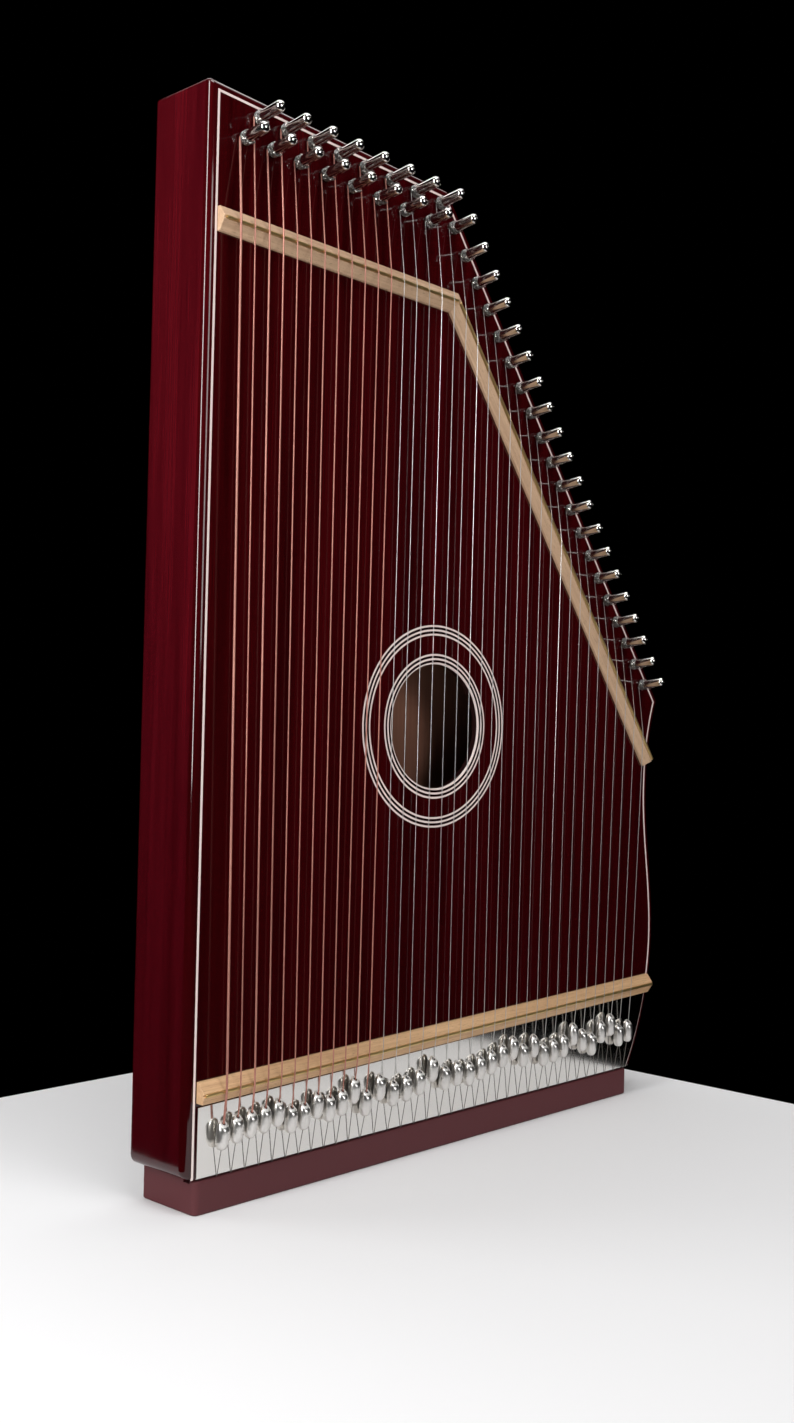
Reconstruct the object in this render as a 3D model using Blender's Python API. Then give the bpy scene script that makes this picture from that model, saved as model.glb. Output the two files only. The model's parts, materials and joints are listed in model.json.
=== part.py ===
"""Swarmandal: a plucked zither that stands upright on its foot rail.

The instrument is laid out from the left end of the box's bottom front edge:
x runs right along the soundboard, y runs back through the box, z runs up.
The world origin is the centre of the foot rail's underside.
"""

import math

import bmesh
import bpy
from mathutils import Matrix, Vector
from mathutils.geometry import interpolate_bezier

# Gap left between two pieces that touch on the real instrument
CLEAR = 0.0003

# Edges that turn more than this stay sharp, and runs that turn less count as straight
SHARP_ANGLE = math.radians(50)
STRAIGHT_ANGLE = math.radians(0.25)

# Outline of the box, seen from the front
BODY_HEIGHT = 0.660
SHOULDER_X = 0.209
SHOULDER_DROP = 0.0072
TIP_X = 0.4774
TIP_HEIGHT = 0.3004
TIP_LEAN = 0.0099
WAIST_X = 0.4651
WAIST_HEIGHT = 0.2255
BELLY_X = 0.4769
BELLY_HEIGHT = 0.1094
FOOT_X = 0.4479
FOOT_FLARE = 0.0204
CURVE_POINTS = 7

# Thickness of the box and its walls
BODY_DEPTH = 0.055
BOARD = 0.005
FRONT_ROUND = 0.0045
BACK_ROUND = 0.0025
ROUND_STEPS = 3
WALL = 0.005
TAIL_BLOCK_HEIGHT = 0.030

# Bars and blocks inside the box
BRACE_WIDTH = 0.012
BRACE_DEPTH = 0.014
LOWER_BRACE_HEIGHT = 0.150
UPPER_BRACE_HEIGHT = 0.385
BLOCK_DEPTH = 0.028
TOP_BLOCK_WIDTH = 0.045
SLOPE_BLOCK_WIDTH = 0.028
BLOCK_SPLIT = 0.004
PIN_END_MARGIN = 0.012

# Foot rail, with a lip for the strings and a pocket for their hitch rods
RAIL_LENGTH = 0.4335
RAIL_START = 0.0077
RAIL_HEIGHT = 0.022
RAIL_DEPTH = 0.0534
RAIL_PROUD = 0.001
LIP_DROP = 0.0011
POCKET_START = 0.004
POCKET_WIDTH = 0.006
POCKET_DROP = 0.0032

# Inlaid white line and soundhole rosette
INLAY_GROOVE = 0.0010
INLAY_THICKNESS = 0.0008
INLAY_PROUD = 0.0001
LINE_DEPTH = 0.0005
PURFLING_INSET = 0.0064
PURFLING_WIDTH = 0.0015
HOLE_X = 0.2075
HOLE_HEIGHT = 0.274
HOLE_RADIUS = 0.0435
LINE_WIDTH = 0.0013
LINE_PITCH = 0.0030
BAND_LINES = 3
OUTER_BAND_RADIUS = 0.0637
HOLE_SIDES = 40

# Tail plate
PLATE_THICKNESS = 0.0010
PLATE_START = 0.0086

# Bridges and their crest rods
BRIDGE_WIDTH = 0.0152
BRIDGE_HEIGHT = 0.0068
BRIDGE_SKIRT = 0.0020
CREST_HALF = 0.0012
SEAT_DEPTH = 0.0009
ROD_RADIUS = 0.0011
ROD_SIDES = 8
ROD_SETBACK = 0.0015
TOP_CREST_DROP = 0.0840
TOP_CREST_FALL = 0.0018
SLOPE_CREST_INSET = 0.0432
BOTTOM_CREST_LEFT = 0.0502
BOTTOM_CREST_RISE = 0.0154
BOTTOM_BRIDGE_START = 0.0082
BOTTOM_BRIDGE_SKEW = 0.0084
BRIDGE_END_INSET = 0.005

# Tuning pins
PIN_TILT = math.radians(6.9)
PIN_RADIUS = 0.0035
PIN_SIDES = 8
PIN_DRIVEN = 0.025
LONG_PIN = 0.0245
SHORT_PIN = 0.0230
PIN_CHAMFER = 0.0012
COIL_RADIUS = 0.0042
COIL_START = 0.0009
COIL_LENGTH = 0.0056
HOLE_CLEAR = 0.0005
ROW_COUNT = 8
ROW_START = 0.0255
ROW_PITCH = 0.0211
ROW_WIDENING = 0.00029
ROW_STAGGER = 0.0104
INNER_ROW_DROP = 0.0297
OUTER_ROW_DROP = 0.0135
SLOPE_COUNT = 20
SLOPE_ROW_INSET = 0.0141
SLOPE_ROW_MARGIN = 0.0228
SLOPE_ROW_SPARE = 0.0260

# Strings and the beads that fine-tune them
STRING_SIDES = 6
WOUND_RADII = (0.00075, 0.00045, 0.00060, 0.00050)
THIN_WOUND_RADIUS = 0.00042
WOUND_COUNT = 12
PLAIN_RADIUS = 0.00025
STRING_GAP = 0.00035
STRING_ON_COIL = 0.0016
TOP_BRIDGE_STRINGS = 17
TOP_STRING_START = 0.0182
TOP_STRING_PITCH = 0.01104
TOP_STRING_WIDENING = 0.00005
BOTTOM_STRING_START = 0.0236
# Runs of equal steps between strings on the bottom bridge: how many steps, and their pitch
BOTTOM_STEPS = ((11, 0.01075), (8, 0.0127), (16, 0.01196))
HITCH_RADIUS = 0.0008
HITCH_OVERHANG = 0.003
BEND_SWELL = 1.4
BEAD_LENGTH = 0.016
BEAD_NECK_RADIUS = 0.0020
BEAD_RADIUS = 0.00425
BEAD_SHAPE = ((0.60, 1.0), (0.84, 0.80), (1.0, 0.38))
# Height of each bead's upper end above the body's foot, as the player has slid them
BEAD_LIFTS = (0.032, 0.034, 0.035, 0.036, 0.038, 0.032, 0.032, 0.037, 0.033,
              0.035, 0.041, 0.031, 0.039, 0.033, 0.034, 0.036, 0.043, 0.035,
              0.036, 0.034, 0.036, 0.038, 0.041, 0.045, 0.038, 0.043, 0.035,
              0.036, 0.038, 0.045, 0.039, 0.034, 0.042, 0.046, 0.036, 0.038)

# Where the box's corner lies when the rail's underside is centred on the origin
BODY_CORNER = Vector((-RAIL_START - RAIL_LENGTH / 2, RAIL_PROUD - RAIL_DEPTH / 2, RAIL_HEIGHT))

LACQUER = ("crimson_lacquer", (0.115, 0.006, 0.012), 0.12, 0.0)
BOARD_LACQUER = ("dark_lacquer", (0.045, 0.003, 0.006), 0.06, 0.0)
RAIL_LACQUER = ("rail_lacquer", (0.085, 0.010, 0.014), 0.25, 0.0)
SPRUCE = ("bare_spruce", (0.55, 0.36, 0.20), 0.7, 0.0)
BEECH = ("bare_beech", (0.48, 0.30, 0.17), 0.65, 0.0)
MAPLE = ("bridge_maple", (0.68, 0.46, 0.26), 0.45, 0.0)
BRASS = ("crest_brass", (0.72, 0.52, 0.22), 0.3, 1.0)
INLAY = ("white_inlay", (0.85, 0.72, 0.68), 0.35, 0.0)
MIRROR_STEEL = ("mirror_steel", (0.82, 0.80, 0.77), 0.06, 1.0)
PIN_STEEL = ("nickelled_pin", (0.75, 0.73, 0.70), 0.15, 1.0)
BRONZE = ("wound_bronze", (0.55, 0.27, 0.14), 0.35, 1.0)
STEEL_WIRE = ("steel_wire", (0.62, 0.61, 0.60), 0.25, 1.0)


def clear_scene():
    """Start from an empty scene."""
    for old in list(bpy.data.objects):
        bpy.data.objects.remove(old, do_unlink=True)


def add_object(name, mesh, look=None, smooth=False):
    """Turn a bmesh into an object that hangs on the box's corner."""
    return place_object(name, mesh_data(name, mesh, look, smooth))


def mesh_data(name, mesh, look, smooth):
    """Store a bmesh, with its faces pointing out, and give it its material."""
    bmesh.ops.recalc_face_normals(mesh, faces=mesh.faces)
    data = bpy.data.meshes.new(name)
    mesh.to_mesh(data)
    mesh.free()
    if smooth:
        data.shade_smooth()
        data.set_sharp_from_angle(angle=SHARP_ANGLE)
    if look:
        data.materials.append(material(look))
    return data


def place_object(name, data):
    """Link a mesh into the scene under the corner empty."""
    made = bpy.data.objects.new(name, data)
    bpy.context.scene.collection.objects.link(made)
    made.parent = bpy.data.objects["body_corner"]
    return made


def material(look):
    """A Principled material from its name, colour, roughness and metallic value."""
    name, colour, roughness, metallic = look
    found = bpy.data.materials.get(name)
    if found:
        return found
    made = bpy.data.materials.new(name)
    made.use_nodes = True
    shader = made.node_tree.nodes["Principled BSDF"]
    shader.inputs["Base Color"].default_value = (*colour, 1.0)
    shader.inputs["Roughness"].default_value = roughness
    shader.inputs["Metallic"].default_value = metallic
    return made


def make_guide(made):
    """Mark an object as a cutter or guide that isn't part of the instrument."""
    made.hide_render = True
    made.display_type = 'WIRE'
    return made


def add_boolean(target, tool, operation):
    """Let a guide object cut or join a piece."""
    modifier = target.modifiers.new(tool.name, 'BOOLEAN')
    modifier.operation = operation
    modifier.solver = 'EXACT'
    modifier.object = tool


def line_through(start, end):
    """A line as its left-hand normal and its reach along that normal."""
    way = (end - start).normalized()
    normal = Vector((-way.y, way.x))
    return normal, normal.dot(start)


def moved(line, distance):
    """The line moved along its normal."""
    return line[0], line[1] + distance


def meet(first, second):
    """The point where two lines cross."""
    (a, reach_a), (b, reach_b) = first, second
    turn = a.x * b.y - a.y * b.x
    return Vector(((reach_a * b.y - reach_b * a.y) / turn,
                   (a.x * reach_b - b.x * reach_a) / turn))


def run_crossing(points, line):
    """The first point where a run of points crosses a line."""
    normal, reach = line
    for start, end in zip(points, points[1:]):
        before = normal.dot(start) - reach
        after = normal.dot(end) - reach
        if before * after <= 0 and before != after:
            return start.lerp(end, before / (before - after))
    raise ValueError("the run never crosses the line")


def right_edge():
    """The curved right side from the foot over belly and waist to the tip."""
    foot = Vector((FOOT_X, 0))
    belly = Vector((BELLY_X, BELLY_HEIGHT))
    waist = Vector((WAIST_X, WAIST_HEIGHT))
    tip = Vector((TIP_X, TIP_HEIGHT))
    leaning = ((foot, FOOT_FLARE, belly, 0), (belly, 0, waist, 0), (waist, 0, tip, -TIP_LEAN))
    points = [foot]
    for start, start_lean, end, end_lean in leaning:
        ease = (end.y - start.y) / 3
        leave = start + Vector((start_lean, ease))
        arrive = end + Vector((end_lean, -ease))
        curve = interpolate_bezier(start, leave, arrive, end, CURVE_POINTS)
        points += [point.to_2d() for point in curve[1:]]
    return points


def body_outline():
    """The box's outline, anticlockwise from its bottom left corner."""
    shoulder = Vector((SHOULDER_X, BODY_HEIGHT - SHOULDER_DROP))
    return [Vector((0, 0))] + right_edge() + [shoulder, Vector((0, BODY_HEIGHT))]


OUTLINE = body_outline()
TIP = OUTLINE[-3]
SHOULDER = OUTLINE[-2]
LEFT_LINE = line_through(OUTLINE[-1], OUTLINE[0])
TOP_LINE = line_through(SHOULDER, OUTLINE[-1])
SLOPE_LINE = line_through(TIP, SHOULDER)
DOWN_SLOPE = (TIP - SHOULDER).normalized()


def inset(distance, bottom=None):
    """The outline moved inwards; its bottom edge can keep a distance of its own."""
    count = len(OUTLINE)
    lines = []
    for index, start in enumerate(OUTLINE):
        edge = line_through(start, OUTLINE[(index + 1) % count])
        own = bottom if index == 0 and bottom is not None else distance
        lines.append(moved(edge, own))
    points = []
    for index, here in enumerate(OUTLINE):
        before, after = lines[index - 1], lines[index]
        if before[0].angle(after[0]) < STRAIGHT_ANGLE:
            points.append(here + after[0] * distance)
        else:
            points.append(meet(before, after))
    return points


def level_line(height):
    """A level line at a height above the body's foot."""
    return Vector((0, -1)), -height


def upright_line(x):
    """An upright line at a distance from the left side."""
    return Vector((1, 0)), x


def right_run(distance, low, high):
    """The right-hand edge between two heights, moved inwards by a distance."""
    edge = inset(distance, bottom=-WALL)[1:-1]
    between = [point for point in edge if low < point.y < high]
    return [run_crossing(edge, level_line(low))] + between + [run_crossing(edge, level_line(high))]


def prism(points, front, back):
    """An outline in the plane of the soundboard, given depth."""
    mesh = bmesh.new()
    near = [mesh.verts.new((point.x, front, point.y)) for point in points]
    far = [mesh.verts.new((point.x, back, point.y)) for point in points]
    mesh.faces.new(near)
    mesh.faces.new(far)
    for index in range(len(points)):
        mesh.faces.new((near[index - 1], near[index], far[index], far[index - 1]))
    bmesh.ops.recalc_face_normals(mesh, faces=mesh.faces)
    return mesh


def ribbon(outer, inner, front, back):
    """A strip of even depth between two runs of matching points."""
    mesh = bmesh.new()
    rings = []
    for outside, inside in zip(outer, inner):
        corners = ((outside, front), (inside, front), (inside, back), (outside, back))
        rings.append([mesh.verts.new((point.x, y, point.y)) for point, y in corners])
    bridge_rings(mesh, rings)
    return mesh


def bridge_rings(mesh, rings):
    """Skin a row of rings and cap both ends."""
    for first, second in zip(rings, rings[1:]):
        for index in range(len(first)):
            mesh.faces.new((first[index - 1], first[index], second[index], second[index - 1]))
    mesh.faces.new(rings[0])
    mesh.faces.new(rings[-1])


def turned(profile, sides, axis, closed):
    """A profile of (radius, place along the axis) spun into a solid."""
    mesh = bmesh.new()
    if axis == 'Y':
        spin_axis = (0, 1, 0)
        points = [(radius, along, 0) for radius, along in profile]
    else:
        spin_axis = (0, 0, 1)
        points = [(radius, 0, along) for radius, along in profile]
    verts = [mesh.verts.new(point) for point in points]
    edges = [mesh.edges.new(pair) for pair in zip(verts, verts[1:])]
    if closed:
        edges.append(mesh.edges.new((verts[-1], verts[0])))
    bmesh.ops.spin(mesh, geom=verts + edges, axis=spin_axis, angle=math.tau, steps=sides,
                   use_merge=True)
    bmesh.ops.remove_doubles(mesh, verts=mesh.verts, dist=1e-6)
    if not closed:
        bmesh.ops.holes_fill(mesh, edges=mesh.edges, sides=sides)
    return mesh


def sweep(mesh, stops, sides, reference):
    """Add a tube through (point, radius) stops; its rings keep to the reference direction."""
    rings = []
    for index, (point, radius) in enumerate(stops):
        before = stops[max(index - 1, 0)][0]
        after = stops[min(index + 1, len(stops) - 1)][0]
        along = (after - before).normalized()
        side = (reference - along * reference.dot(along)).normalized()
        up = along.cross(side)
        ring = []
        for corner in range(sides):
            angle = math.tau * corner / sides
            offset = side * math.cos(angle) + up * math.sin(angle)
            ring.append(mesh.verts.new(point + offset * radius))
        rings.append(ring)
    bridge_rings(mesh, rings)


def lifted(point, height):
    """A point of the soundboard's plan, raised in front of it."""
    return Vector((point.x, -height, point.y))


def round_rim(mesh, depth, radius, skip_bottom):
    """Round a board's outer edge on the face that lies at a depth."""
    chosen = []
    for edge in mesh.edges:
        on_face = all(abs(vert.co.y - depth) < CLEAR / 2 for vert in edge.verts)
        at_foot = all(vert.co.z < CLEAR / 2 for vert in edge.verts)
        if on_face and not (skip_bottom and at_foot):
            chosen.append(edge)
    bmesh.ops.bevel(mesh, geom=chosen, offset=radius, offset_type='OFFSET', segments=ROUND_STEPS,
                    profile=0.5, affect='EDGES')


def pin_places():
    """Where each pin enters the soundboard and how far it stands out, in string order."""
    places = []
    rows = ((0, INNER_ROW_DROP, SHORT_PIN), (ROW_STAGGER, OUTER_ROW_DROP, LONG_PIN))
    for index in range(ROW_COUNT):
        x = ROW_START + ROW_PITCH * index + ROW_WIDENING * index ** 2
        for across, drop, length in rows:
            top = meet(TOP_LINE, upright_line(x + across))
            places.append((top - Vector((0, drop)), length))
    slope_length = (TIP - SHOULDER).length
    pitch = (slope_length - SLOPE_ROW_MARGIN - SLOPE_ROW_SPARE) / (SLOPE_COUNT - 1)
    for index in range(SLOPE_COUNT):
        along = DOWN_SLOPE * (SLOPE_ROW_MARGIN + pitch * index)
        places.append((SHOULDER + along + SLOPE_LINE[0] * SLOPE_ROW_INSET, LONG_PIN))
    return places


PINS = pin_places()
PIN_WAY = Vector((0, -math.cos(PIN_TILT), math.sin(PIN_TILT)))
PIN_TURN = math.pi / 2 - PIN_TILT


def bridge_lines():
    """The crest lines of the three bridges, seen from the front."""
    left = Vector((0, BODY_HEIGHT - TOP_CREST_DROP))
    top = line_through(Vector((SHOULDER_X, left.y - TOP_CREST_FALL)), left)
    slope = moved(SLOPE_LINE, SLOPE_CREST_INSET)
    right = Vector((BELLY_X, BOTTOM_CREST_LEFT + BOTTOM_CREST_RISE))
    bottom = line_through(right, Vector((0, BOTTOM_CREST_LEFT)))
    return top, slope, bottom


TOP_CREST, SLOPE_CREST, BOTTOM_CREST = bridge_lines()


def square_end(crest, edge):
    """The upper and lower corners of a bridge cut square where its crest meets an edge."""
    centre = run_crossing(edge, crest)
    half = crest[0] * (BRIDGE_WIDTH / 2)
    return centre - half, centre + half


def crossed_end(crest, other_upper, other_lower):
    """The corners of a bridge's end where its two sides run into two other lines."""
    upper = meet(moved(crest, -BRIDGE_WIDTH / 2), other_upper)
    lower = meet(moved(crest, BRIDGE_WIDTH / 2), other_lower)
    return upper, lower


def add_bridge(name, start, end):
    """A maple bridge between two ends, each given by its upper and lower corner."""
    seat = CREST_HALF / BRIDGE_WIDTH
    section = ((0, CLEAR), (0, BRIDGE_SKIRT), (0.5 - seat, BRIDGE_HEIGHT),
               (0.5, BRIDGE_HEIGHT - SEAT_DEPTH), (0.5 + seat, BRIDGE_HEIGHT),
               (1, BRIDGE_SKIRT), (1, CLEAR))
    mesh = bmesh.new()
    rings = []
    for upper, lower in (start, end):
        ring = [lifted(upper.lerp(lower, share), height) for share, height in section]
        rings.append([mesh.verts.new(point) for point in ring])
    bridge_rings(mesh, rings)
    return add_object(name, mesh, MAPLE)


def rod_height():
    """Height of a crest rod's centre when it lies in the bridge's seat."""
    lean = math.atan2(SEAT_DEPTH, CREST_HALF)
    return BRIDGE_HEIGHT - SEAT_DEPTH + (ROD_RADIUS + CLEAR) / math.cos(lean)


def crest_height(radius):
    """Height of a string's centre where it crosses a rod."""
    return rod_height() + ROD_RADIUS + CLEAR + radius


def add_rod(name, start, end):
    """A brass crest rod between two points of the crest line."""
    mesh = bmesh.new()
    stops = [(lifted(start, rod_height()), ROD_RADIUS), (lifted(end, rod_height()), ROD_RADIUS)]
    sweep(mesh, stops, ROD_SIDES, Vector((0, 1, 0)))
    return add_object(name, mesh, BRASS, smooth=True)


def build_bridges():
    """Three bridges with a brass rod along each crest."""
    purfling_edge = PURFLING_INSET + PURFLING_WIDTH / 2 + CLEAR
    start_line = moved(LEFT_LINE, purfling_edge)
    edge = inset(BRIDGE_END_INSET)[1:-1]

    top_start = crossed_end(TOP_CREST, start_line, start_line)
    half = BRIDGE_WIDTH / 2
    kink = crossed_end(TOP_CREST, moved(SLOPE_CREST, -half), moved(SLOPE_CREST, half))
    slope_end = square_end(SLOPE_CREST, edge)
    slope_start = [corner + DOWN_SLOPE * CLEAR for corner in kink]
    add_bridge("top_bridge", top_start, [corner - Vector((CLEAR, 0)) for corner in kink])
    add_bridge("slope_bridge", slope_start, slope_end)

    skewed = moved(LEFT_LINE, BOTTOM_BRIDGE_START + BOTTOM_BRIDGE_SKEW)
    bottom_start = crossed_end(BOTTOM_CREST, moved(LEFT_LINE, BOTTOM_BRIDGE_START), skewed)
    bottom_end = square_end(BOTTOM_CREST, edge)
    add_bridge("bottom_bridge", bottom_start, bottom_end)

    crest_kink = meet(TOP_CREST, SLOPE_CREST)
    top_rod_start = meet(TOP_CREST, moved(start_line, ROD_SETBACK))
    add_rod("top_bridge_rod", top_rod_start, crest_kink - Vector((ROD_RADIUS, 0)))
    slope_rod_end = run_crossing(edge, SLOPE_CREST) - DOWN_SLOPE * ROD_SETBACK
    add_rod("slope_bridge_rod", crest_kink + DOWN_SLOPE * ROD_RADIUS, slope_rod_end)
    middle_start = bottom_start[0].lerp(bottom_start[1], 0.5)
    middle_end = bottom_end[0].lerp(bottom_end[1], 0.5)
    run = (middle_end - middle_start).normalized() * ROD_SETBACK
    add_rod("bottom_bridge_rod", middle_start + run, middle_end - run)


def pin_matrix(place):
    """Stand a pin's own z axis on its hole in the soundboard."""
    return Matrix.Translation(lifted(place, 0)) @ Matrix.Rotation(PIN_TURN, 4, 'X')


def add_pin_hole_cutter():
    """One cutter with the bore of every pin."""
    mesh = bmesh.new()
    radius = PIN_RADIUS + HOLE_CLEAR
    below = PIN_DRIVEN + 2 * CLEAR
    for place, _length in PINS:
        middle = Matrix.Translation((0, 0, (COIL_START - below) / 2))
        bmesh.ops.create_cone(mesh, cap_ends=True, segments=PIN_SIDES, radius1=radius, radius2=radius,
                              depth=COIL_START + below, matrix=pin_matrix(place) @ middle)
    return make_guide(add_object("pin_hole_cutter", mesh))


def band_rings(inner_radius):
    """Radii of the three white lines of a rosette band, from the inside out."""
    return [(inner_radius + LINE_PITCH * line, inner_radius + LINE_PITCH * line + LINE_WIDTH)
            for line in range(BAND_LINES)]


def band_outer_radius(inner_radius):
    """Outer radius of a rosette band."""
    return band_rings(inner_radius)[-1][1]


def band_profile(inner_radius):
    """Half section of a rosette band: its lines stand on a common web."""
    front = -INLAY_PROUD
    web = LINE_DEPTH - INLAY_PROUD
    back = INLAY_THICKNESS - INLAY_PROUD
    rings = band_rings(inner_radius)
    profile = [(inner_radius, back), (inner_radius, front)]
    for (_, line_end), (next_start, _) in zip(rings, rings[1:]):
        profile += [(line_end, front), (line_end, web), (next_start, web), (next_start, front)]
    outer_radius = rings[-1][1]
    return profile + [(outer_radius, front), (outer_radius, back)]


def centre_on_hole(made):
    """Move a turned piece onto the soundhole's axis."""
    made.location = (HOLE_X, 0, HOLE_HEIGHT)
    return made


def add_soundhole_cutter():
    """The soundhole, with the rebate that the inner rosette band lies in."""
    rebate = band_outer_radius(HOLE_RADIUS) + CLEAR
    profile = ((0, -BOARD), (rebate, -BOARD), (rebate, INLAY_GROOVE), (HOLE_RADIUS, INLAY_GROOVE),
               (HOLE_RADIUS, 2 * BOARD), (0, 2 * BOARD))
    mesh = turned(profile, HOLE_SIDES, 'Y', closed=True)
    return make_guide(centre_on_hole(add_object("soundhole_cutter", mesh)))


def add_outer_band_cutter():
    """The ring-shaped groove of the outer rosette band."""
    inside = OUTER_BAND_RADIUS - CLEAR
    outside = band_outer_radius(OUTER_BAND_RADIUS) + CLEAR
    profile = ((inside, -BOARD), (outside, -BOARD), (outside, INLAY_GROOVE), (inside, INLAY_GROOVE))
    mesh = turned(profile, HOLE_SIDES, 'Y', closed=True)
    return make_guide(centre_on_hole(add_object("outer_band_cutter", mesh)))


def purfling_runs(spare, below):
    """The two edges of the white line, open at the body's foot."""
    half = PURFLING_WIDTH / 2 + spare
    runs = []
    for distance in (PURFLING_INSET - half, PURFLING_INSET + half):
        points = inset(distance, bottom=below)
        runs.append(points[1:] + points[:1])
    return runs


def add_purfling_cutter():
    """The groove of the white line, run out through the body's foot."""
    outer, inner = purfling_runs(CLEAR, -BOARD)
    return make_guide(add_object("purfling_cutter", ribbon(outer, inner, -BOARD, INLAY_GROOVE)))


def build_boards(pin_holes):
    """Soundboard and back board, each rounded along its outer edge."""
    front = prism(OUTLINE, 0, BOARD)
    round_rim(front, 0, FRONT_ROUND, skip_bottom=True)
    soundboard = add_object("soundboard", front, BOARD_LACQUER)
    for cutter in (pin_holes, add_soundhole_cutter(), add_outer_band_cutter(), add_purfling_cutter()):
        add_boolean(soundboard, cutter, 'DIFFERENCE')
    back = prism(OUTLINE, BODY_DEPTH - BOARD, BODY_DEPTH)
    round_rim(back, BODY_DEPTH, BACK_ROUND, skip_bottom=False)
    add_object("back_board", back, LACQUER)


def add_wall(name, points, look=LACQUER):
    """A side of the box between the two boards."""
    return add_object(name, prism(points, BOARD + CLEAR, BODY_DEPTH - BOARD - CLEAR), look)


def build_walls():
    """The four sides and the tail block that close the box."""
    inner = inset(WALL)
    inner_tip, inner_shoulder = inner[-3], inner[-2]
    left_inner = upright_line(WALL)
    left_top = meet(TOP_LINE, left_inner)
    add_wall("left_side", [OUTLINE[0], Vector((WALL, 0)), left_top, OUTLINE[-1]])

    beside_left = upright_line(WALL + CLEAR)
    back_off = Vector((CLEAR, 0))
    add_wall("top_side", [meet(moved(TOP_LINE, WALL), beside_left), inner_shoulder - back_off,
                          SHOULDER - back_off, meet(TOP_LINE, beside_left)])

    step = DOWN_SLOPE * CLEAR
    add_wall("slope_side", [inner_shoulder + step, inner_tip - step, TIP - step, SHOULDER + step])

    outside = OUTLINE[1:-2]
    inside = inset(WALL, bottom=0)[1:-2]
    add_wall("right_side", outside + inside[::-1])

    add_wall("tail_block", cross_bar(0, TAIL_BLOCK_HEIGHT, WALL + CLEAR), BEECH)


def cross_bar(low, high, end_gap):
    """A bar right across the box between two heights, short of the outline at both ends."""
    left = WALL + CLEAR
    return [Vector((left, low))] + right_run(end_gap, low, high) + [Vector((left, high))]


def build_inside(pin_holes):
    """Braces under the soundboard and the two blocks that hold the pins."""
    front = BOARD + CLEAR
    beside_wall = WALL + CLEAR
    brace_back = front + BRACE_DEPTH
    lower = cross_bar(LOWER_BRACE_HEIGHT, LOWER_BRACE_HEIGHT + BRACE_WIDTH, beside_wall)
    add_object("lower_brace", prism(lower, front, brace_back), SPRUCE)
    beside_block = beside_wall + SLOPE_BLOCK_WIDTH + CLEAR
    upper = cross_bar(UPPER_BRACE_HEIGHT, UPPER_BRACE_HEIGHT + BRACE_WIDTH, beside_block)
    add_object("upper_brace", prism(upper, front, brace_back), SPRUCE)

    block_back = front + BLOCK_DEPTH
    split = SHOULDER_X - BLOCK_SPLIT
    top_outer = moved(TOP_LINE, beside_wall)
    top_inner = moved(top_outer, TOP_BLOCK_WIDTH)
    left_end = upright_line(beside_wall)
    right_end = upright_line(split - CLEAR)
    top = [meet(top_inner, left_end), meet(top_inner, right_end),
           meet(top_outer, right_end), meet(top_outer, left_end)]
    top_block = add_object("top_pin_block", prism(top, front, block_back), BEECH)

    slope_outer = moved(SLOPE_LINE, beside_wall)
    slope_inner = moved(slope_outer, SLOPE_BLOCK_WIDTH)
    last_pin = PINS[-1][0] + DOWN_SLOPE * PIN_END_MARGIN
    lower_end = line_through(last_pin, last_pin + SLOPE_LINE[0])
    upper_end = upright_line(split)
    slope = [meet(slope_inner, upper_end), meet(slope_inner, lower_end),
             meet(slope_outer, lower_end), meet(slope_outer, top_outer), meet(top_outer, upper_end)]
    slope_block = add_object("slope_pin_block", prism(slope, front, block_back), BEECH)
    for block in (top_block, slope_block):
        add_boolean(block, pin_holes, 'DIFFERENCE')


def build_inlays():
    """The white line round the soundboard and the two rosette bands."""
    outer, inner = purfling_runs(0, 0)
    add_object("purfling", ribbon(outer, inner, -INLAY_PROUD, INLAY_THICKNESS - INLAY_PROUD), INLAY)
    for name, radius in (("rosette_inner", HOLE_RADIUS), ("rosette_outer", OUTER_BAND_RADIUS)):
        band = turned(band_profile(radius), HOLE_SIDES, 'Y', closed=True)
        centre_on_hole(add_object(name, band, INLAY))


def build_tail_plate():
    """The polished plate between the bottom bridge and the body's foot."""
    bridge_edge = moved(BOTTOM_CREST, BRIDGE_WIDTH / 2 + CLEAR)
    right_gap = PURFLING_INSET + PURFLING_WIDTH / 2 + CLEAR
    edge = inset(right_gap, bottom=CLEAR)[1:-1]
    corner = run_crossing(edge, bridge_edge)
    right = [point for point in edge if point.y < corner.y] + [corner]
    left = upright_line(PLATE_START)
    points = [Vector((PLATE_START, CLEAR))] + right + [meet(bridge_edge, left)]
    add_object("tail_plate", prism(points, -CLEAR - PLATE_THICKNESS, -CLEAR), MIRROR_STEEL)


def build_foot_rail():
    """The rail under the body, lowered at the front to let the strings in."""
    front = -RAIL_PROUD
    pocket_end = POCKET_START + POCKET_WIDTH
    section = ((front, -RAIL_HEIGHT), (front + RAIL_DEPTH, -RAIL_HEIGHT), (front + RAIL_DEPTH, -CLEAR),
               (pocket_end, -CLEAR), (pocket_end, -POCKET_DROP), (POCKET_START, -POCKET_DROP),
               (POCKET_START, -LIP_DROP), (front, -LIP_DROP))
    mesh = bmesh.new()
    rings = []
    for x in (RAIL_START, RAIL_START + RAIL_LENGTH):
        rings.append([mesh.verts.new((x, y, z)) for y, z in section])
    bridge_rings(mesh, rings)
    add_object("foot_rail", mesh, RAIL_LACQUER)


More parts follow.
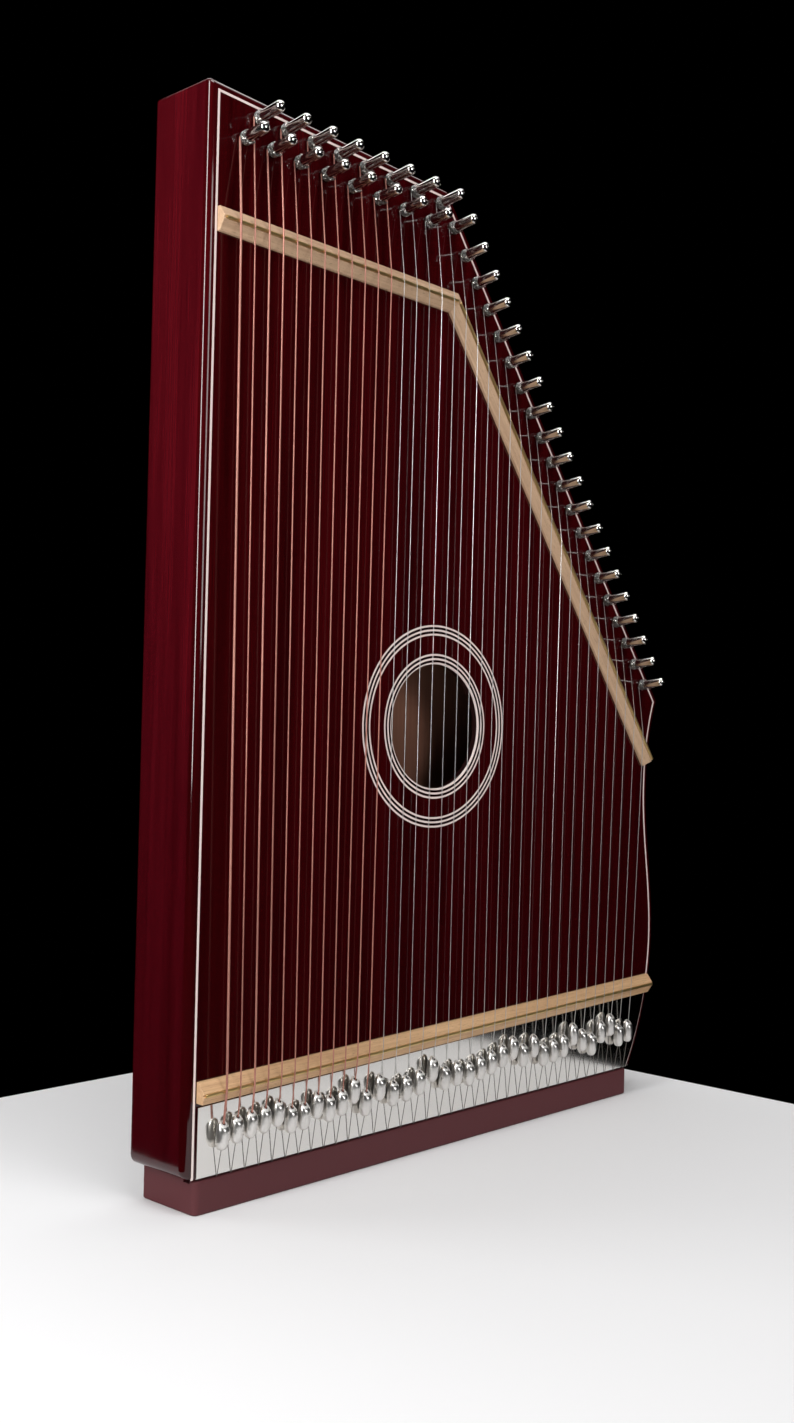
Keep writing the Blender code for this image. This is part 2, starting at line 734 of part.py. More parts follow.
def pin_mesh(name, length):
    """A pin with its rounded head and the wound turns of its string."""
    coil_end = COIL_START + COIL_LENGTH
    profile = ((PIN_RADIUS, -PIN_DRIVEN), (PIN_RADIUS, COIL_START), (COIL_RADIUS, COIL_START),
               (COIL_RADIUS, coil_end), (PIN_RADIUS, coil_end), (PIN_RADIUS, length - PIN_CHAMFER),
               (PIN_RADIUS - PIN_CHAMFER, length))
    return mesh_data(name, turned(profile, PIN_SIDES, 'Z', closed=False), PIN_STEEL, smooth=True)


def build_pins():
    """Every tuning pin, with its origin on its own axis at the soundboard."""
    shapes = {LONG_PIN: pin_mesh("long_pin", LONG_PIN), SHORT_PIN: pin_mesh("short_pin", SHORT_PIN)}
    for number, (place, length) in enumerate(PINS, start=1):
        pin = place_object(f"tuning_pin_{number:02d}", shapes[length])
        pin.location = lifted(place, 0)
        pin.rotation_euler = (PIN_TURN, 0, 0)


def string_radius(index):
    """Radius of a string above its bead."""
    if index < len(WOUND_RADII):
        return WOUND_RADII[index]
    return THIN_WOUND_RADIUS if index < WOUND_COUNT else PLAIN_RADIUS


def bottom_crest_point(index):
    """Where a string crosses the bottom bridge."""
    x = BOTTOM_STRING_START
    for steps, pitch in BOTTOM_STEPS:
        x += pitch * min(index, steps)
        index = max(index - steps, 0)
    return meet(BOTTOM_CREST, upright_line(x))


def upper_crest_point(index, low, high):
    """Where a string crosses the top bridge or, past its end, the slope bridge."""
    if index < TOP_BRIDGE_STRINGS:
        x = TOP_STRING_START + TOP_STRING_PITCH * index + TOP_STRING_WIDENING * index ** 2
        return meet(TOP_CREST, upright_line(x))
    return meet(SLOPE_CREST, line_through(low, high))


def string_stops(index):
    """A string's way from its coil over both bridges and through its bead, which rests on the
    tail plate, to the hitch rod."""
    radius = string_radius(index)
    place, _length = PINS[index]
    aside = COIL_RADIUS + STRING_GAP + radius
    coil_end = lifted(place, 0) + PIN_WAY * STRING_ON_COIL - Vector((aside, 0, 0))
    bottom = bottom_crest_point(index)
    top = upper_crest_point(index, bottom, Vector((coil_end.x, coil_end.z)))
    crest = lifted(bottom, crest_height(radius))
    plate_front = CLEAR + PLATE_THICKNESS
    past_plate = plate_front + CLEAR + BEND_SWELL * PLAIN_RADIUS
    beside_plate = Vector((bottom.x, -past_plate, CLEAR))
    in_lip = -LIP_DROP / 2
    stops = [(coil_end, radius), (lifted(top, crest_height(radius)), radius), (crest, radius)]

    widest = BEAD_LENGTH * BEAD_SHAPE[0][0]
    rest = Vector((bottom.x, -plate_front - CLEAR - BEAD_RADIUS, BEAD_LIFTS[index] - widest))
    down = (rest - crest).normalized()
    bead_top = rest - down * widest
    stops += [(bead_top, radius), (bead_top + down * PLAIN_RADIUS, BEAD_NECK_RADIUS)]
    for share, width in BEAD_SHAPE:
        stops.append((bead_top + down * BEAD_LENGTH * share, BEAD_RADIUS * width))
    stops.append((bead_top + down * (BEAD_LENGTH + PLAIN_RADIUS), PLAIN_RADIUS))

    stops += [(beside_plate, PLAIN_RADIUS),
              (Vector((bottom.x, -plate_front, in_lip)), PLAIN_RADIUS),
              (Vector((bottom.x, POCKET_START, in_lip)), PLAIN_RADIUS),
              (hitch_point(bottom.x), PLAIN_RADIUS)]
    return stops


def hitch_point(x):
    """A point on the hitch rods' line, in the middle of the rail's pocket."""
    return Vector((x, POCKET_START + POCKET_WIDTH / 2, -LIP_DROP / 2 - HITCH_RADIUS))


def add_strings(name, look, first, last):
    """A set of strings, looped on the rod that holds them under the body's foot."""
    runs = bmesh.new()
    for index in range(first, last):
        sweep(runs, string_stops(index), STRING_SIDES, Vector((1, 0, 0)))
    guide = make_guide(add_object(name + "_runs", runs))
    rod = bmesh.new()
    start = bottom_crest_point(first).x - HITCH_OVERHANG
    end = bottom_crest_point(last - 1).x + HITCH_OVERHANG
    stops = [(hitch_point(start), HITCH_RADIUS), (hitch_point(end), HITCH_RADIUS)]
    sweep(rod, stops, ROD_SIDES, Vector((0, 1, 0)))
    made = add_object(name, rod, look)
    add_boolean(made, guide, 'UNION')


def main():
    """Build the whole instrument."""
    clear_scene()
    corner = bpy.data.objects.new("body_corner", None)
    bpy.context.scene.collection.objects.link(corner)
    corner.location = BODY_CORNER
    pin_holes = add_pin_hole_cutter()
    build_boards(pin_holes)
    build_walls()
    build_inside(pin_holes)
    build_inlays()
    build_tail_plate()
    build_foot_rail()
    build_bridges()
    build_pins()
    add_strings("bronze_strings", BRONZE, 0, WOUND_COUNT)
    add_strings("steel_strings", STEEL_WIRE, WOUND_COUNT, len(PINS))


main()
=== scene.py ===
"""Swarmandal: a plucked zither, dressed over its packed solids.

Lengths are in metres. The instrument is laid out from the bottom left corner of its
soundboard, with x to the right, y back through the box and z up, and each finished piece
is then moved to where that corner lies in the frame.
"""

import json
import math

import bmesh
import bpy
from bpy.props import FloatProperty, FloatVectorProperty, IntProperty, PointerProperty
from mathutils import Matrix, Vector
from mathutils.geometry import interpolate_bezier


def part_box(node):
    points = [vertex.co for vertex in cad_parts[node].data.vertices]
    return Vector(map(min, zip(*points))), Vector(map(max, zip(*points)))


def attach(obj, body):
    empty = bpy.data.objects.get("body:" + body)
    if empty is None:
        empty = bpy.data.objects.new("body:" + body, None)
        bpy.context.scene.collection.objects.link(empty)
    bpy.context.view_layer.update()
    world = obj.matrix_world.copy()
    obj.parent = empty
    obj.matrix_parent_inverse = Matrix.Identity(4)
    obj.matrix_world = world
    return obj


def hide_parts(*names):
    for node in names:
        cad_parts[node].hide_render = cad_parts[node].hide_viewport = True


bl_info = {
    "name": "Swarmandal",
    "version": (1, 0, 0),
    "blender": (4, 5, 0),
    "location": "View3D > Sidebar > Swarmandal",
    "description": "Builds the visible pieces and the finishes of a swarmandal",
    "category": "Object",
}

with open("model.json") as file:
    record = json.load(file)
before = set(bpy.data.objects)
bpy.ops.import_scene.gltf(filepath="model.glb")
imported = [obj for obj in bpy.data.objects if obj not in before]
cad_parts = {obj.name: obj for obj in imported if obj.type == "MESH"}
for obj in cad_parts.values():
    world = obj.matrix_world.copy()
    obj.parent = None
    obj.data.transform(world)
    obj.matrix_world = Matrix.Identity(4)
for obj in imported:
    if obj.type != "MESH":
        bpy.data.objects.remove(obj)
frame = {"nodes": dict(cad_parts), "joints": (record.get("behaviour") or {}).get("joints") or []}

HELD = "instrument"
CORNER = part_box("soundboard")[0]
JOINTS = frame["joints"]
ACROSS = Vector((1, 0, 0))
INTO_BOX = Vector((0, 1, 0))
UP = Vector((0, 0, 1))


def length(name, default, description):
    """A size in metres that the sidebar shows."""
    return FloatProperty(name=name, description=description, default=default,
                         unit='LENGTH', precision=5, min=0.0)


def colour(name, default, description):
    """A linear colour that the sidebar shows."""
    return FloatVectorProperty(name=name, description=description, default=default,
                               subtype='COLOR', size=3, min=0.0, max=1.0)


class BoxSizes(bpy.types.PropertyGroup):
    """Outline and thickness of the box"""

    height: length("Height", 0.660, "Height of the box at its left side")
    shoulder_x: length("Shoulder", 0.209, "Distance of the shoulder from the left side")
    shoulder_drop: length("Shoulder drop", 0.0072, "How far the shoulder lies below the top left corner")
    tip_x: length("Tip", 0.4774, "Distance of the tip from the left side")
    tip_height: length("Tip height", 0.3004, "Height of the tip above the foot")
    tip_lean: length("Tip lean", 0.0099, "How far the side's curve leans at the tip")
    waist_x: length("Waist", 0.4651, "Distance of the waist from the left side")
    waist_height: length("Waist height", 0.2255, "Height of the waist above the foot")
    belly_x: length("Belly", 0.4769, "Distance of the belly from the left side")
    belly_height: length("Belly height", 0.1094, "Height of the belly above the foot")
    foot_x: length("Foot", 0.4479, "Width of the box at its foot")
    foot_flare: length("Foot flare", 0.0204, "How far the side's curve leans at the foot")
    curve_points: IntProperty(name="Curve points", description="Points along each bend of the curved side",
                              default=18, min=4)
    depth: length("Depth", 0.055, "Depth of the box over both boards")
    board: length("Board", 0.005, "Thickness of the soundboard and the back board")
    wall: length("Wall", 0.005, "Thickness of the sides")
    front_round: length("Front rounding", 0.0045, "Radius of the soundboard's rounded rim")
    back_round: length("Back rounding", 0.0025, "Radius of the back's rounded rim")
    corner_round: length("Corner rounding", 0.0020, "Radius of the box's corners")
    heel_round: length("Heel rounding", 0.0060, "Radius of the box's bottom left corner")
    hole_x: length("Soundhole", 0.2075, "Distance of the soundhole from the left side")
    hole_height: length("Soundhole height", 0.274, "Height of the soundhole above the foot")
    hole_radius: length("Soundhole radius", 0.0435, "Radius of the soundhole inside its white lining")


class InlaySizes(bpy.types.PropertyGroup):
    """White line and rosette"""

    purfling_inset: length("Line inset", 0.0064, "Distance of the white line from the edge")
    purfling_width: length("Line width", 0.0015, "Width of the white line")
    thickness: length("Thickness", 0.0008, "Thickness of the inlays")
    proud: length("Proud", 0.0001, "How far the inlays stand out of the lacquer")
    line_width: length("Rosette line", 0.0013, "Width of each white rosette line")
    line_pitch: length("Rosette pitch", 0.0030, "Distance between the rosette lines")
    outer_radius: length("Outer band", 0.0637, "Inner radius of the outer rosette band")
    lining_round: length("Lining rounding", 0.0011, "Rounding of the soundhole's white lip")


class BridgeSizes(bpy.types.PropertyGroup):
    """Bridges, crest rods and tail plate"""

    width: length("Width", 0.0152, "Width of a bridge")
    height: length("Height", 0.0068, "Height of a bridge at its crest")
    skirt: length("Skirt", 0.0020, "Height of a bridge's upright lower edge")
    crest_half: length("Seat", 0.0012, "Half the width of the crest rod's seat")
    seat_depth: length("Seat depth", 0.0009, "Depth of the crest rod's seat")
    rod_radius: length("Rod radius", 0.0011, "Radius of a crest rod")
    rod_setback: length("Rod setback", 0.0015, "How far a rod's end lies inside its bridge's end")
    top_drop: length("Top bridge", 0.0840, "Distance of the top bridge's crest below the box's top")
    top_fall: length("Top bridge fall", 0.0018, "How much the top bridge falls to the shoulder")
    slope_inset: length("Slope bridge", 0.0432, "Distance of the slope bridge's crest from the slope")
    bottom_left: length("Bottom bridge", 0.0502, "Height of the bottom bridge's crest at the left side")
    bottom_rise: length("Bottom rise", 0.0154, "How much the bottom bridge rises to the right")
    bottom_start: length("Bottom start", 0.0082, "Distance of the bottom bridge from the left side")
    left_taper: FloatProperty(name="Left taper", description="Lower half of the bottom bridge's left end, as a share",
                              default=0.70, min=0.1, max=1.0, subtype='FACTOR')
    left_skirt: length("Left skirt", 0.0062, "Height of the bottom bridge's lower edge at its left end")
    end_inset: length("End inset", 0.005, "Distance of the bridges' right ends from the edge")
    plate_start: length("Plate start", 0.0086, "Distance of the tail plate from the left side")
    plate_thickness: length("Plate thickness", 0.0010, "Thickness of the tail plate")


class StringSizes(bpy.types.PropertyGroup):
    """Strings, beads and tuning pins"""

    wound_count: IntProperty(name="Wound strings", description="Number of wound strings", default=12)
    top_count: IntProperty(name="Top strings", description="Strings that cross the top bridge", default=17)
    plain_radius: length("Plain string", 0.00025, "Radius of a plain string")
    thin_radius: length("Thin wound string", 0.00042, "Radius of the thinner wound strings")
    top_start: length("Top start", 0.0182, "Distance of the first string on the top bridge")
    top_pitch: length("Top pitch", 0.01104, "Distance between the first strings on the top bridge")
    top_widening: length("Top widening", 0.00005, "Growth of that distance from string to string, squared")
    bottom_start: length("Bottom start", 0.0236, "Distance of the first string on the bottom bridge")
    bead_length: length("Bead length", 0.016, "Length of a tuning bead")
    bead_radius: length("Bead radius", 0.00425, "Largest radius of a tuning bead")
    bead_neck: length("Bead neck", 0.0026, "Radius of a bead's upper end")
    bead_bore: length("Bead bore", 0.0010, "Radius of the hole through a bead")
    bead_slant: FloatProperty(name="Bead slant", description="Slope of a bead's mouth, which faces forward and up",
                              default=0.65, min=0.0, max=1.5)
    pin_radius: length("Pin radius", 0.0035, "Radius of a tuning pin")
    pin_driven: length("Pin driven", 0.025, "How deep a tuning pin is driven")
    long_pin: length("Long pin", 0.0245, "Reach of the outer and slope pins")
    short_pin: length("Short pin", 0.0230, "Reach of the inner pins")
    pin_dome: length("Pin dome", 0.0030, "Rounding of a pin's head")
    hole_clear: length("Pin hole", 0.00025, "Clearance of a pin in the soundboard")
    coil_leave: length("Coil start", 0.0016, "Where the string leaves its coil, above the soundboard")
    coil_reach: length("Coil", 0.0048, "Length of the coil along the pin")
    tail: length("String end", 0.0042, "Length of the bent string end at the coil")
    clear: length("Clearance", 0.0003, "Gap between touching pieces")


class RailSizes(bpy.types.PropertyGroup):
    """Foot rail"""

    start: length("Start", 0.0077, "Distance of the rail's end from the left side")
    reach: length("Length", 0.4335, "Length of the rail")
    height: length("Height", 0.0220, "Height of the rail")
    depth: length("Depth", 0.0534, "Depth of the rail")
    proud: length("Proud", 0.001, "How far the rail stands out in front of the soundboard")
    lip_drop: length("Lip drop", 0.0011, "Gap for the strings over the rail's front")
    pocket_start: length("Pocket start", 0.004, "Distance of the string pocket from the soundboard's front")
    pocket_width: length("Pocket width", 0.006, "Width of the string pocket")
    pocket_drop: length("Pocket depth", 0.0032, "Depth of the string pocket")
    corner_round: length("Corner rounding", 0.0038, "Radius of the rail's upright edges")
    edge_round: length("Edge rounding", 0.0014, "Radius of the rail's other edges")


class Colours(bpy.types.PropertyGroup):
    """Colours of the finishes"""

    side_deep: colour("Side deep", (0.026, 0.0005, 0.0018), "Dark grain of the lacquered sides")
    side_bright: colour("Side bright", (0.092, 0.0036, 0.0072), "Bright grain of the lacquered sides")
    board_deep: colour("Soundboard deep", (0.020, 0.0004, 0.0010), "Dark grain of the soundboard")
    board_bright: colour("Soundboard bright", (0.058, 0.0016, 0.0030), "Bright grain of the soundboard")
    rail_deep: colour("Rail deep", (0.040, 0.0016, 0.0030), "Dark grain of the foot rail")
    rail_bright: colour("Rail bright", (0.085, 0.0040, 0.0075), "Bright grain of the foot rail")
    maple_light: colour("Maple light", (0.69, 0.47, 0.30), "Light grain of the upper bridges")
    maple_dark: colour("Maple dark", (0.49, 0.30, 0.18), "Dark grain of the upper bridges")
    warm_light: colour("Warm maple light", (0.70, 0.45, 0.25), "Light grain of the bottom bridge")
    warm_dark: colour("Warm maple dark", (0.48, 0.28, 0.145), "Dark grain of the bottom bridge")
    brass: colour("Brass", (0.84, 0.64, 0.28), "Brass of the crest rods")
    inlay: colour("Inlay", (0.84, 0.70, 0.66), "White of the inlaid lines")
    steel: colour("Mirror steel", (0.88, 0.84, 0.79), "Steel of the tail plate")
    nickel: colour("Nickel", (0.76, 0.74, 0.71), "Nickel of pins and beads")
    lip: colour("Bead lip", (0.86, 0.86, 0.84), "Satin lip of a bead's mouth")
    bronze: colour("Bronze", (0.50, 0.22, 0.17), "Winding of the low strings")
    wire: colour("Steel wire", (0.74, 0.59, 0.58), "Wire of the plain strings")
    # Painted shade: the thin wire below the beads is coloured far darker than the strings above them.
    core: colour("Core wire", (0.20, 0.18, 0.17), "Bare wire below the beads")
    bare_light: colour("Bare wood light", (0.25, 0.105, 0.062), "Light grain of the bare wood inside")
    bare_dark: colour("Bare wood dark", (0.15, 0.058, 0.034), "Dark grain of the bare wood inside")


class StageSettings(bpy.types.PropertyGroup):
    """Camera, floor and lamps"""

    eye: FloatVectorProperty(name="Camera", description="Place of the camera", size=3,
                             default=(-0.75293, -0.72839, 0.29039), subtype='XYZ', unit='LENGTH')
    heading: FloatProperty(name="Heading", description="Direction of the camera from +Y towards +X",
                           default=math.radians(48.726), subtype='ANGLE')
    pitch: FloatProperty(name="Pitch", description="Upward tilt of the camera",
                         default=math.radians(0.955), subtype='ANGLE')
    roll: FloatProperty(name="Roll", description="Roll of the camera",
                        default=math.radians(1.246), subtype='ANGLE')
    lens: FloatProperty(name="Lens", description="Focal length in millimetres", default=36.64)
    shift: FloatProperty(name="Shift", description="Sideways shift of the camera", default=-0.0703)
    floor: colour("Floor", (0.80, 0.80, 0.81), "Colour of the floor")


SETTINGS = {"swarmandal_box": BoxSizes, "swarmandal_inlay": InlaySizes, "swarmandal_bridge": BridgeSizes,
            "swarmandal_string": StringSizes, "swarmandal_rail": RailSizes,
            "swarmandal_colour": Colours, "swarmandal_stage": StageSettings}


# Lines and runs of the instrument's plan, seen from the front


def line_through(start, end):
    """A line as its left-hand normal and its reach along that normal."""
    way = (end - start).normalized()
    normal = Vector((-way.y, way.x))
    return normal, normal.dot(start)


def moved(line, distance):
    """The line moved along its normal."""
    return line[0], line[1] + distance


def meet(first, second):
    """The point where two lines cross."""
    (a, reach_a), (b, reach_b) = first, second
    turn = a.x * b.y - a.y * b.x
    return Vector(((reach_a * b.y - reach_b * a.y) / turn, (a.x * reach_b - b.x * reach_a) / turn))


def level_line(height):
    """A level line at a height above the foot."""
    return Vector((0, -1)), -height


def upright_line(x):
    """An upright line at a distance from the left side."""
    return Vector((1, 0)), x


def run_crossing(points, line):
    """The first point where a run of points crosses a line."""
    normal, reach = line
    for start, end in zip(points, points[1:]):
        before = normal.dot(start) - reach
        after = normal.dot(end) - reach
        if before * after <= 0 and before != after:
            return start.lerp(end, before / (before - after))
    raise RuntimeError("the run never crosses the line")


class Plan:
    """The box's outline and the lines that the fittings follow."""

    def __init__(self, scene):
        box, bridge = scene.swarmandal_box, scene.swarmandal_bridge
        self.box, self.bridge = box, bridge
        self.edge = self.right_edge()
        self.shoulder = Vector((box.shoulder_x, box.height - box.shoulder_drop))
        self.tip = self.edge[-1]
        self.outline = [Vector((0, 0))] + self.edge + [self.shoulder, Vector((0, box.height))]
        self.left = line_through(self.outline[-1], self.outline[0])
        self.top = line_through(self.shoulder, self.outline[-1])
        self.slope = line_through(self.tip, self.shoulder)
        self.down_slope = (self.tip - self.shoulder).normalized()
        top_left = Vector((0, box.height - bridge.top_drop))
        self.top_crest = line_through(Vector((box.shoulder_x, top_left.y - bridge.top_fall)), top_left)
        self.slope_crest = moved(self.slope, bridge.slope_inset)
        self.bottom_crest = line_through(Vector((box.belly_x, bridge.bottom_left + bridge.bottom_rise)),
                                         Vector((0, bridge.bottom_left)))

    def right_edge(self):
        """The curved right side from the foot over belly and waist to the tip."""
        box = self.box
        foot, belly = Vector((box.foot_x, 0)), Vector((box.belly_x, box.belly_height))
        waist, tip = Vector((box.waist_x, box.waist_height)), Vector((box.tip_x, box.tip_height))
        bends = ((foot, box.foot_flare, belly, 0), (belly, 0, waist, 0), (waist, 0, tip, -box.tip_lean))
        points = [foot]
        for start, start_lean, end, end_lean in bends:
            ease = (end.y - start.y) / 3
            leave = start + Vector((start_lean, ease))
            arrive = end + Vector((end_lean, -ease))
            bend = interpolate_bezier(start, leave, arrive, end, box.curve_points)
            points += [point.to_2d() for point in bend[1:]]
        return points

    def inset(self, distance, bottom=None):
        """The outline moved inwards; its bottom edge can keep a distance of its own."""
        count = len(self.outline)
        lines = []
        for index, start in enumerate(self.outline):
            edge = line_through(start, self.outline[(index + 1) % count])
            own = bottom if index == 0 and bottom is not None else distance
            lines.append(moved(edge, own))
        points = []
        for index, here in enumerate(self.outline):
            before, after = lines[index - 1], lines[index]
            straight = before[0].angle(after[0]) < math.radians(0.1)
            points.append(here + after[0] * distance if straight else meet(before, after))
        return points

    def rounded(self, distance=0.0, bottom=None, steps=6):
        """The outline, or one moved inwards, with its hard corners rounded."""
        corners = self.inset(distance, bottom)
        points = []
        for index, here in enumerate(corners):
            radius = self.box.corner_round if index else self.box.heel_round
            before = (corners[index - 1] - here).normalized()
            after = (corners[(index + 1) % len(corners)] - here).normalized()
            opening = before.angle(after)
            if opening > math.radians(165):
                points.append(here)
                continue
            reach = radius / math.tan(opening / 2)
            middle = here + (before + after).normalized() * (radius / math.sin(opening / 2))
            first = here + before * reach - middle
            last = here + after * reach - middle
            sweep = first.angle_signed(last)
            for step in range(steps + 1):
                turn = Matrix.Rotation(-sweep * step / steps, 2)
                points.append(middle + turn @ first)
        return points


# Mesh pieces


def outline_prism(points, front, back):
    """An outline seen from the front, extruded from one depth to another."""
    mesh = bmesh.new()
    face = mesh.faces.new([mesh.verts.new((point.x, front, point.y)) for point in points])
    made = bmesh.ops.extrude_face_region(mesh, geom=[face])["geom"]
    verts = [item for item in made if isinstance(item, bmesh.types.BMVert)]
    bmesh.ops.translate(mesh, verts=verts, vec=(0, back - front, 0))
    bmesh.ops.recalc_face_normals(mesh, faces=mesh.faces)
    return mesh


def round_edges(mesh, edges, radius, segments):
    """Round some edges of a mesh."""
    bmesh.ops.bevel(mesh, geom=edges, offset=radius, offset_type='OFFSET', segments=segments,
                    profile=0.5, affect='EDGES', material=-1)


def edges_at(mesh, depth):
    """The edges of a prism's face at a depth."""
    return [edge for edge in mesh.edges if all(abs(vert.co.y - depth) < 1e-5 for vert in edge.verts)]


def rim_rings(plan, side, face, foot_rounded, steps=8):
    """Outlines and depths of a quarter-round rim from a board's side to its face."""
    rings = []
    for step in range(steps + 1):
        angle = math.pi / 2 * step / steps
        inset = abs(face - side) * (1 - math.cos(angle))
        points = plan.rounded(inset, bottom=None if foot_rounded else 0.0)
        rings.append((points, side + (face - side) * math.sin(angle)))
    return rings


def ringed_board(rings):
    """A board skinned over outlines that each lie at their own depth."""
    mesh = bmesh.new()
    loops = []
    for points, depth in rings:
        verts = [mesh.verts.new((point.x, depth, point.y)) for point in points]
        loops.append([mesh.edges.new(pair) for pair in zip(verts, verts[1:] + verts[:1])])
    for first, second in zip(loops, loops[1:]):
        bmesh.ops.bridge_loops(mesh, edges=first + second)
    for loop in (loops[0], loops[-1]):
        bmesh.ops.edgeloop_fill(mesh, edges=loop)
    bmesh.ops.recalc_face_normals(mesh, faces=mesh.faces)
    return mesh


def spun(profile, steps, axis, closed):
    """A profile of (radius, place along the axis) spun into a solid about Y or Z."""
    mesh = bmesh.new()
    along_y = axis == 'Y'
    points = [(radius, along, 0) if along_y else (radius, 0, along) for radius, along in profile]
    verts = [mesh.verts.new(point) for point in points]
    edges = [mesh.edges.new(pair) for pair in zip(verts, verts[1:])]
    if closed:
        edges.append(mesh.edges.new((verts[-1], verts[0])))
    bmesh.ops.spin(mesh, geom=verts + edges, axis=INTO_BOX if along_y else UP, angle=math.tau,
                   steps=steps, use_merge=True)
    bmesh.ops.remove_doubles(mesh, verts=mesh.verts, dist=1e-6)
    if not closed:
        bmesh.ops.holes_fill(mesh, edges=mesh.edges, sides=steps)
    bmesh.ops.recalc_face_normals(mesh, faces=mesh.faces)
    return mesh


def ring_at(mesh, point, radius, way, sides, capped):
    """A circle of a wire's outline, square to the wire's way."""
    side = (ACROSS - way * ACROSS.dot(way)).normalized()
    turn = Matrix((side, way.cross(side), way)).transposed().to_4x4()
    made = bmesh.ops.create_circle(mesh, cap_ends=capped, radius=radius, segments=sides,
                                   matrix=Matrix.Translation(point) @ turn)
    verts = made["verts"]
    inside = set(verts)
    return [edge for vert in verts for edge in vert.link_edges if edge.other_vert(vert) in inside]


def add_wire(mesh, stops, sides):
    """Add a wire through (point, radius) stops."""
    rings = []
    for index, (point, radius) in enumerate(stops):
        before = stops[max(index - 1, 0)][0]
        after = stops[min(index + 1, len(stops) - 1)][0]
        at_end = index in (0, len(stops) - 1)
        edges = ring_at(mesh, point, radius, (after - before).normalized(), sides, at_end)
        rings.append(list(dict.fromkeys(edges)))
    for first, second in zip(rings, rings[1:]):
        bmesh.ops.bridge_loops(mesh, edges=first + second)


def add_copy(mesh, data, matrix):
    """Add a placed copy of mesh data to a bmesh."""
    known = len(mesh.verts)
    mesh.from_mesh(data)
    mesh.verts.ensure_lookup_table()
    bmesh.ops.transform(mesh, verts=mesh.verts[known:], matrix=matrix)


def stored(name, mesh, finishes, sharp=math.radians(35)):
    """Store a bmesh as mesh data with smooth shading and its finishes."""
    data = bpy.data.meshes.new(name)
    mesh.to_mesh(data)
    mesh.free()
    data.shade_smooth()
    data.set_sharp_from_angle(angle=sharp)
    for finish in finishes:
        data.materials.append(finish)
    return data


def add_piece(name, data):
    """Link mesh data into the scene as an object."""
    piece = bpy.data.objects.new(name, data)
    bpy.context.scene.collection.objects.link(piece)
    return piece


def bake_modifiers(piece):
    """Keep what a piece's modifiers make of it as its own mesh."""
    graph = bpy.context.evaluated_depsgraph_get()
    made = bpy.data.meshes.new_from_object(piece.evaluated_get(graph), depsgraph=graph)
    piece.modifiers.clear()
    piece.data = made


def cut_away(piece, cutters):
    """Cut some bmesh shapes out of a piece."""
    tools = []
    for index, cutter in enumerate(cutters):
        tool = add_piece(f"{piece.name}_cutter_{index}", stored("cutter", cutter, []))
        tools.append(tool)
        modifier = piece.modifiers.new(tool.name, 'BOOLEAN')
        modifier.operation = 'DIFFERENCE'
        modifier.solver = 'EXACT'
        modifier.object = tool
    bake_modifiers(piece)
    for tool in tools:
        bpy.data.objects.remove(tool, do_unlink=True)


def flatten_shading(piece):
    """Keep broad flat faces flat beside their rounded edges."""
    modifier = piece.modifiers.new("flat faces", 'WEIGHTED_NORMAL')
    modifier.keep_sharp = True
    modifier.weight = 100
    bake_modifiers(piece)


def mount(piece, body, nodes):
    """Move a piece to its place in the frame and let it stand for its nodes."""
    piece.data.transform(Matrix.Translation(CORNER))
    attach(piece, body)
    if nodes:
        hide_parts(*nodes)
    return piece


# Finishes


class Signal:
    """A shader socket that takes Python's operators; each adds one Math node."""

    def __init__(self, finish, socket):
        self.finish = finish
        self.socket = socket

    def math(self, operation, first, second):
        """The result of a Math node."""
        return self.finish.node('Math', {"operation": operation}, {0: first, 1: second})

    def __add__(self, other):
        return self.math('ADD', self, other)

    def __radd__(self, other):
        return self.math('ADD', other, self)

    def __sub__(self, other):
        return self.math('SUBTRACT', self, other)

    def __rsub__(self, other):
        return self.math('SUBTRACT', other, self)

    def __mul__(self, other):
        return self.math('MULTIPLY', self, other)

    def __rmul__(self, other):
        return self.math('MULTIPLY', other, self)

    def __pow__(self, other):
        return self.math('POWER', self, other)


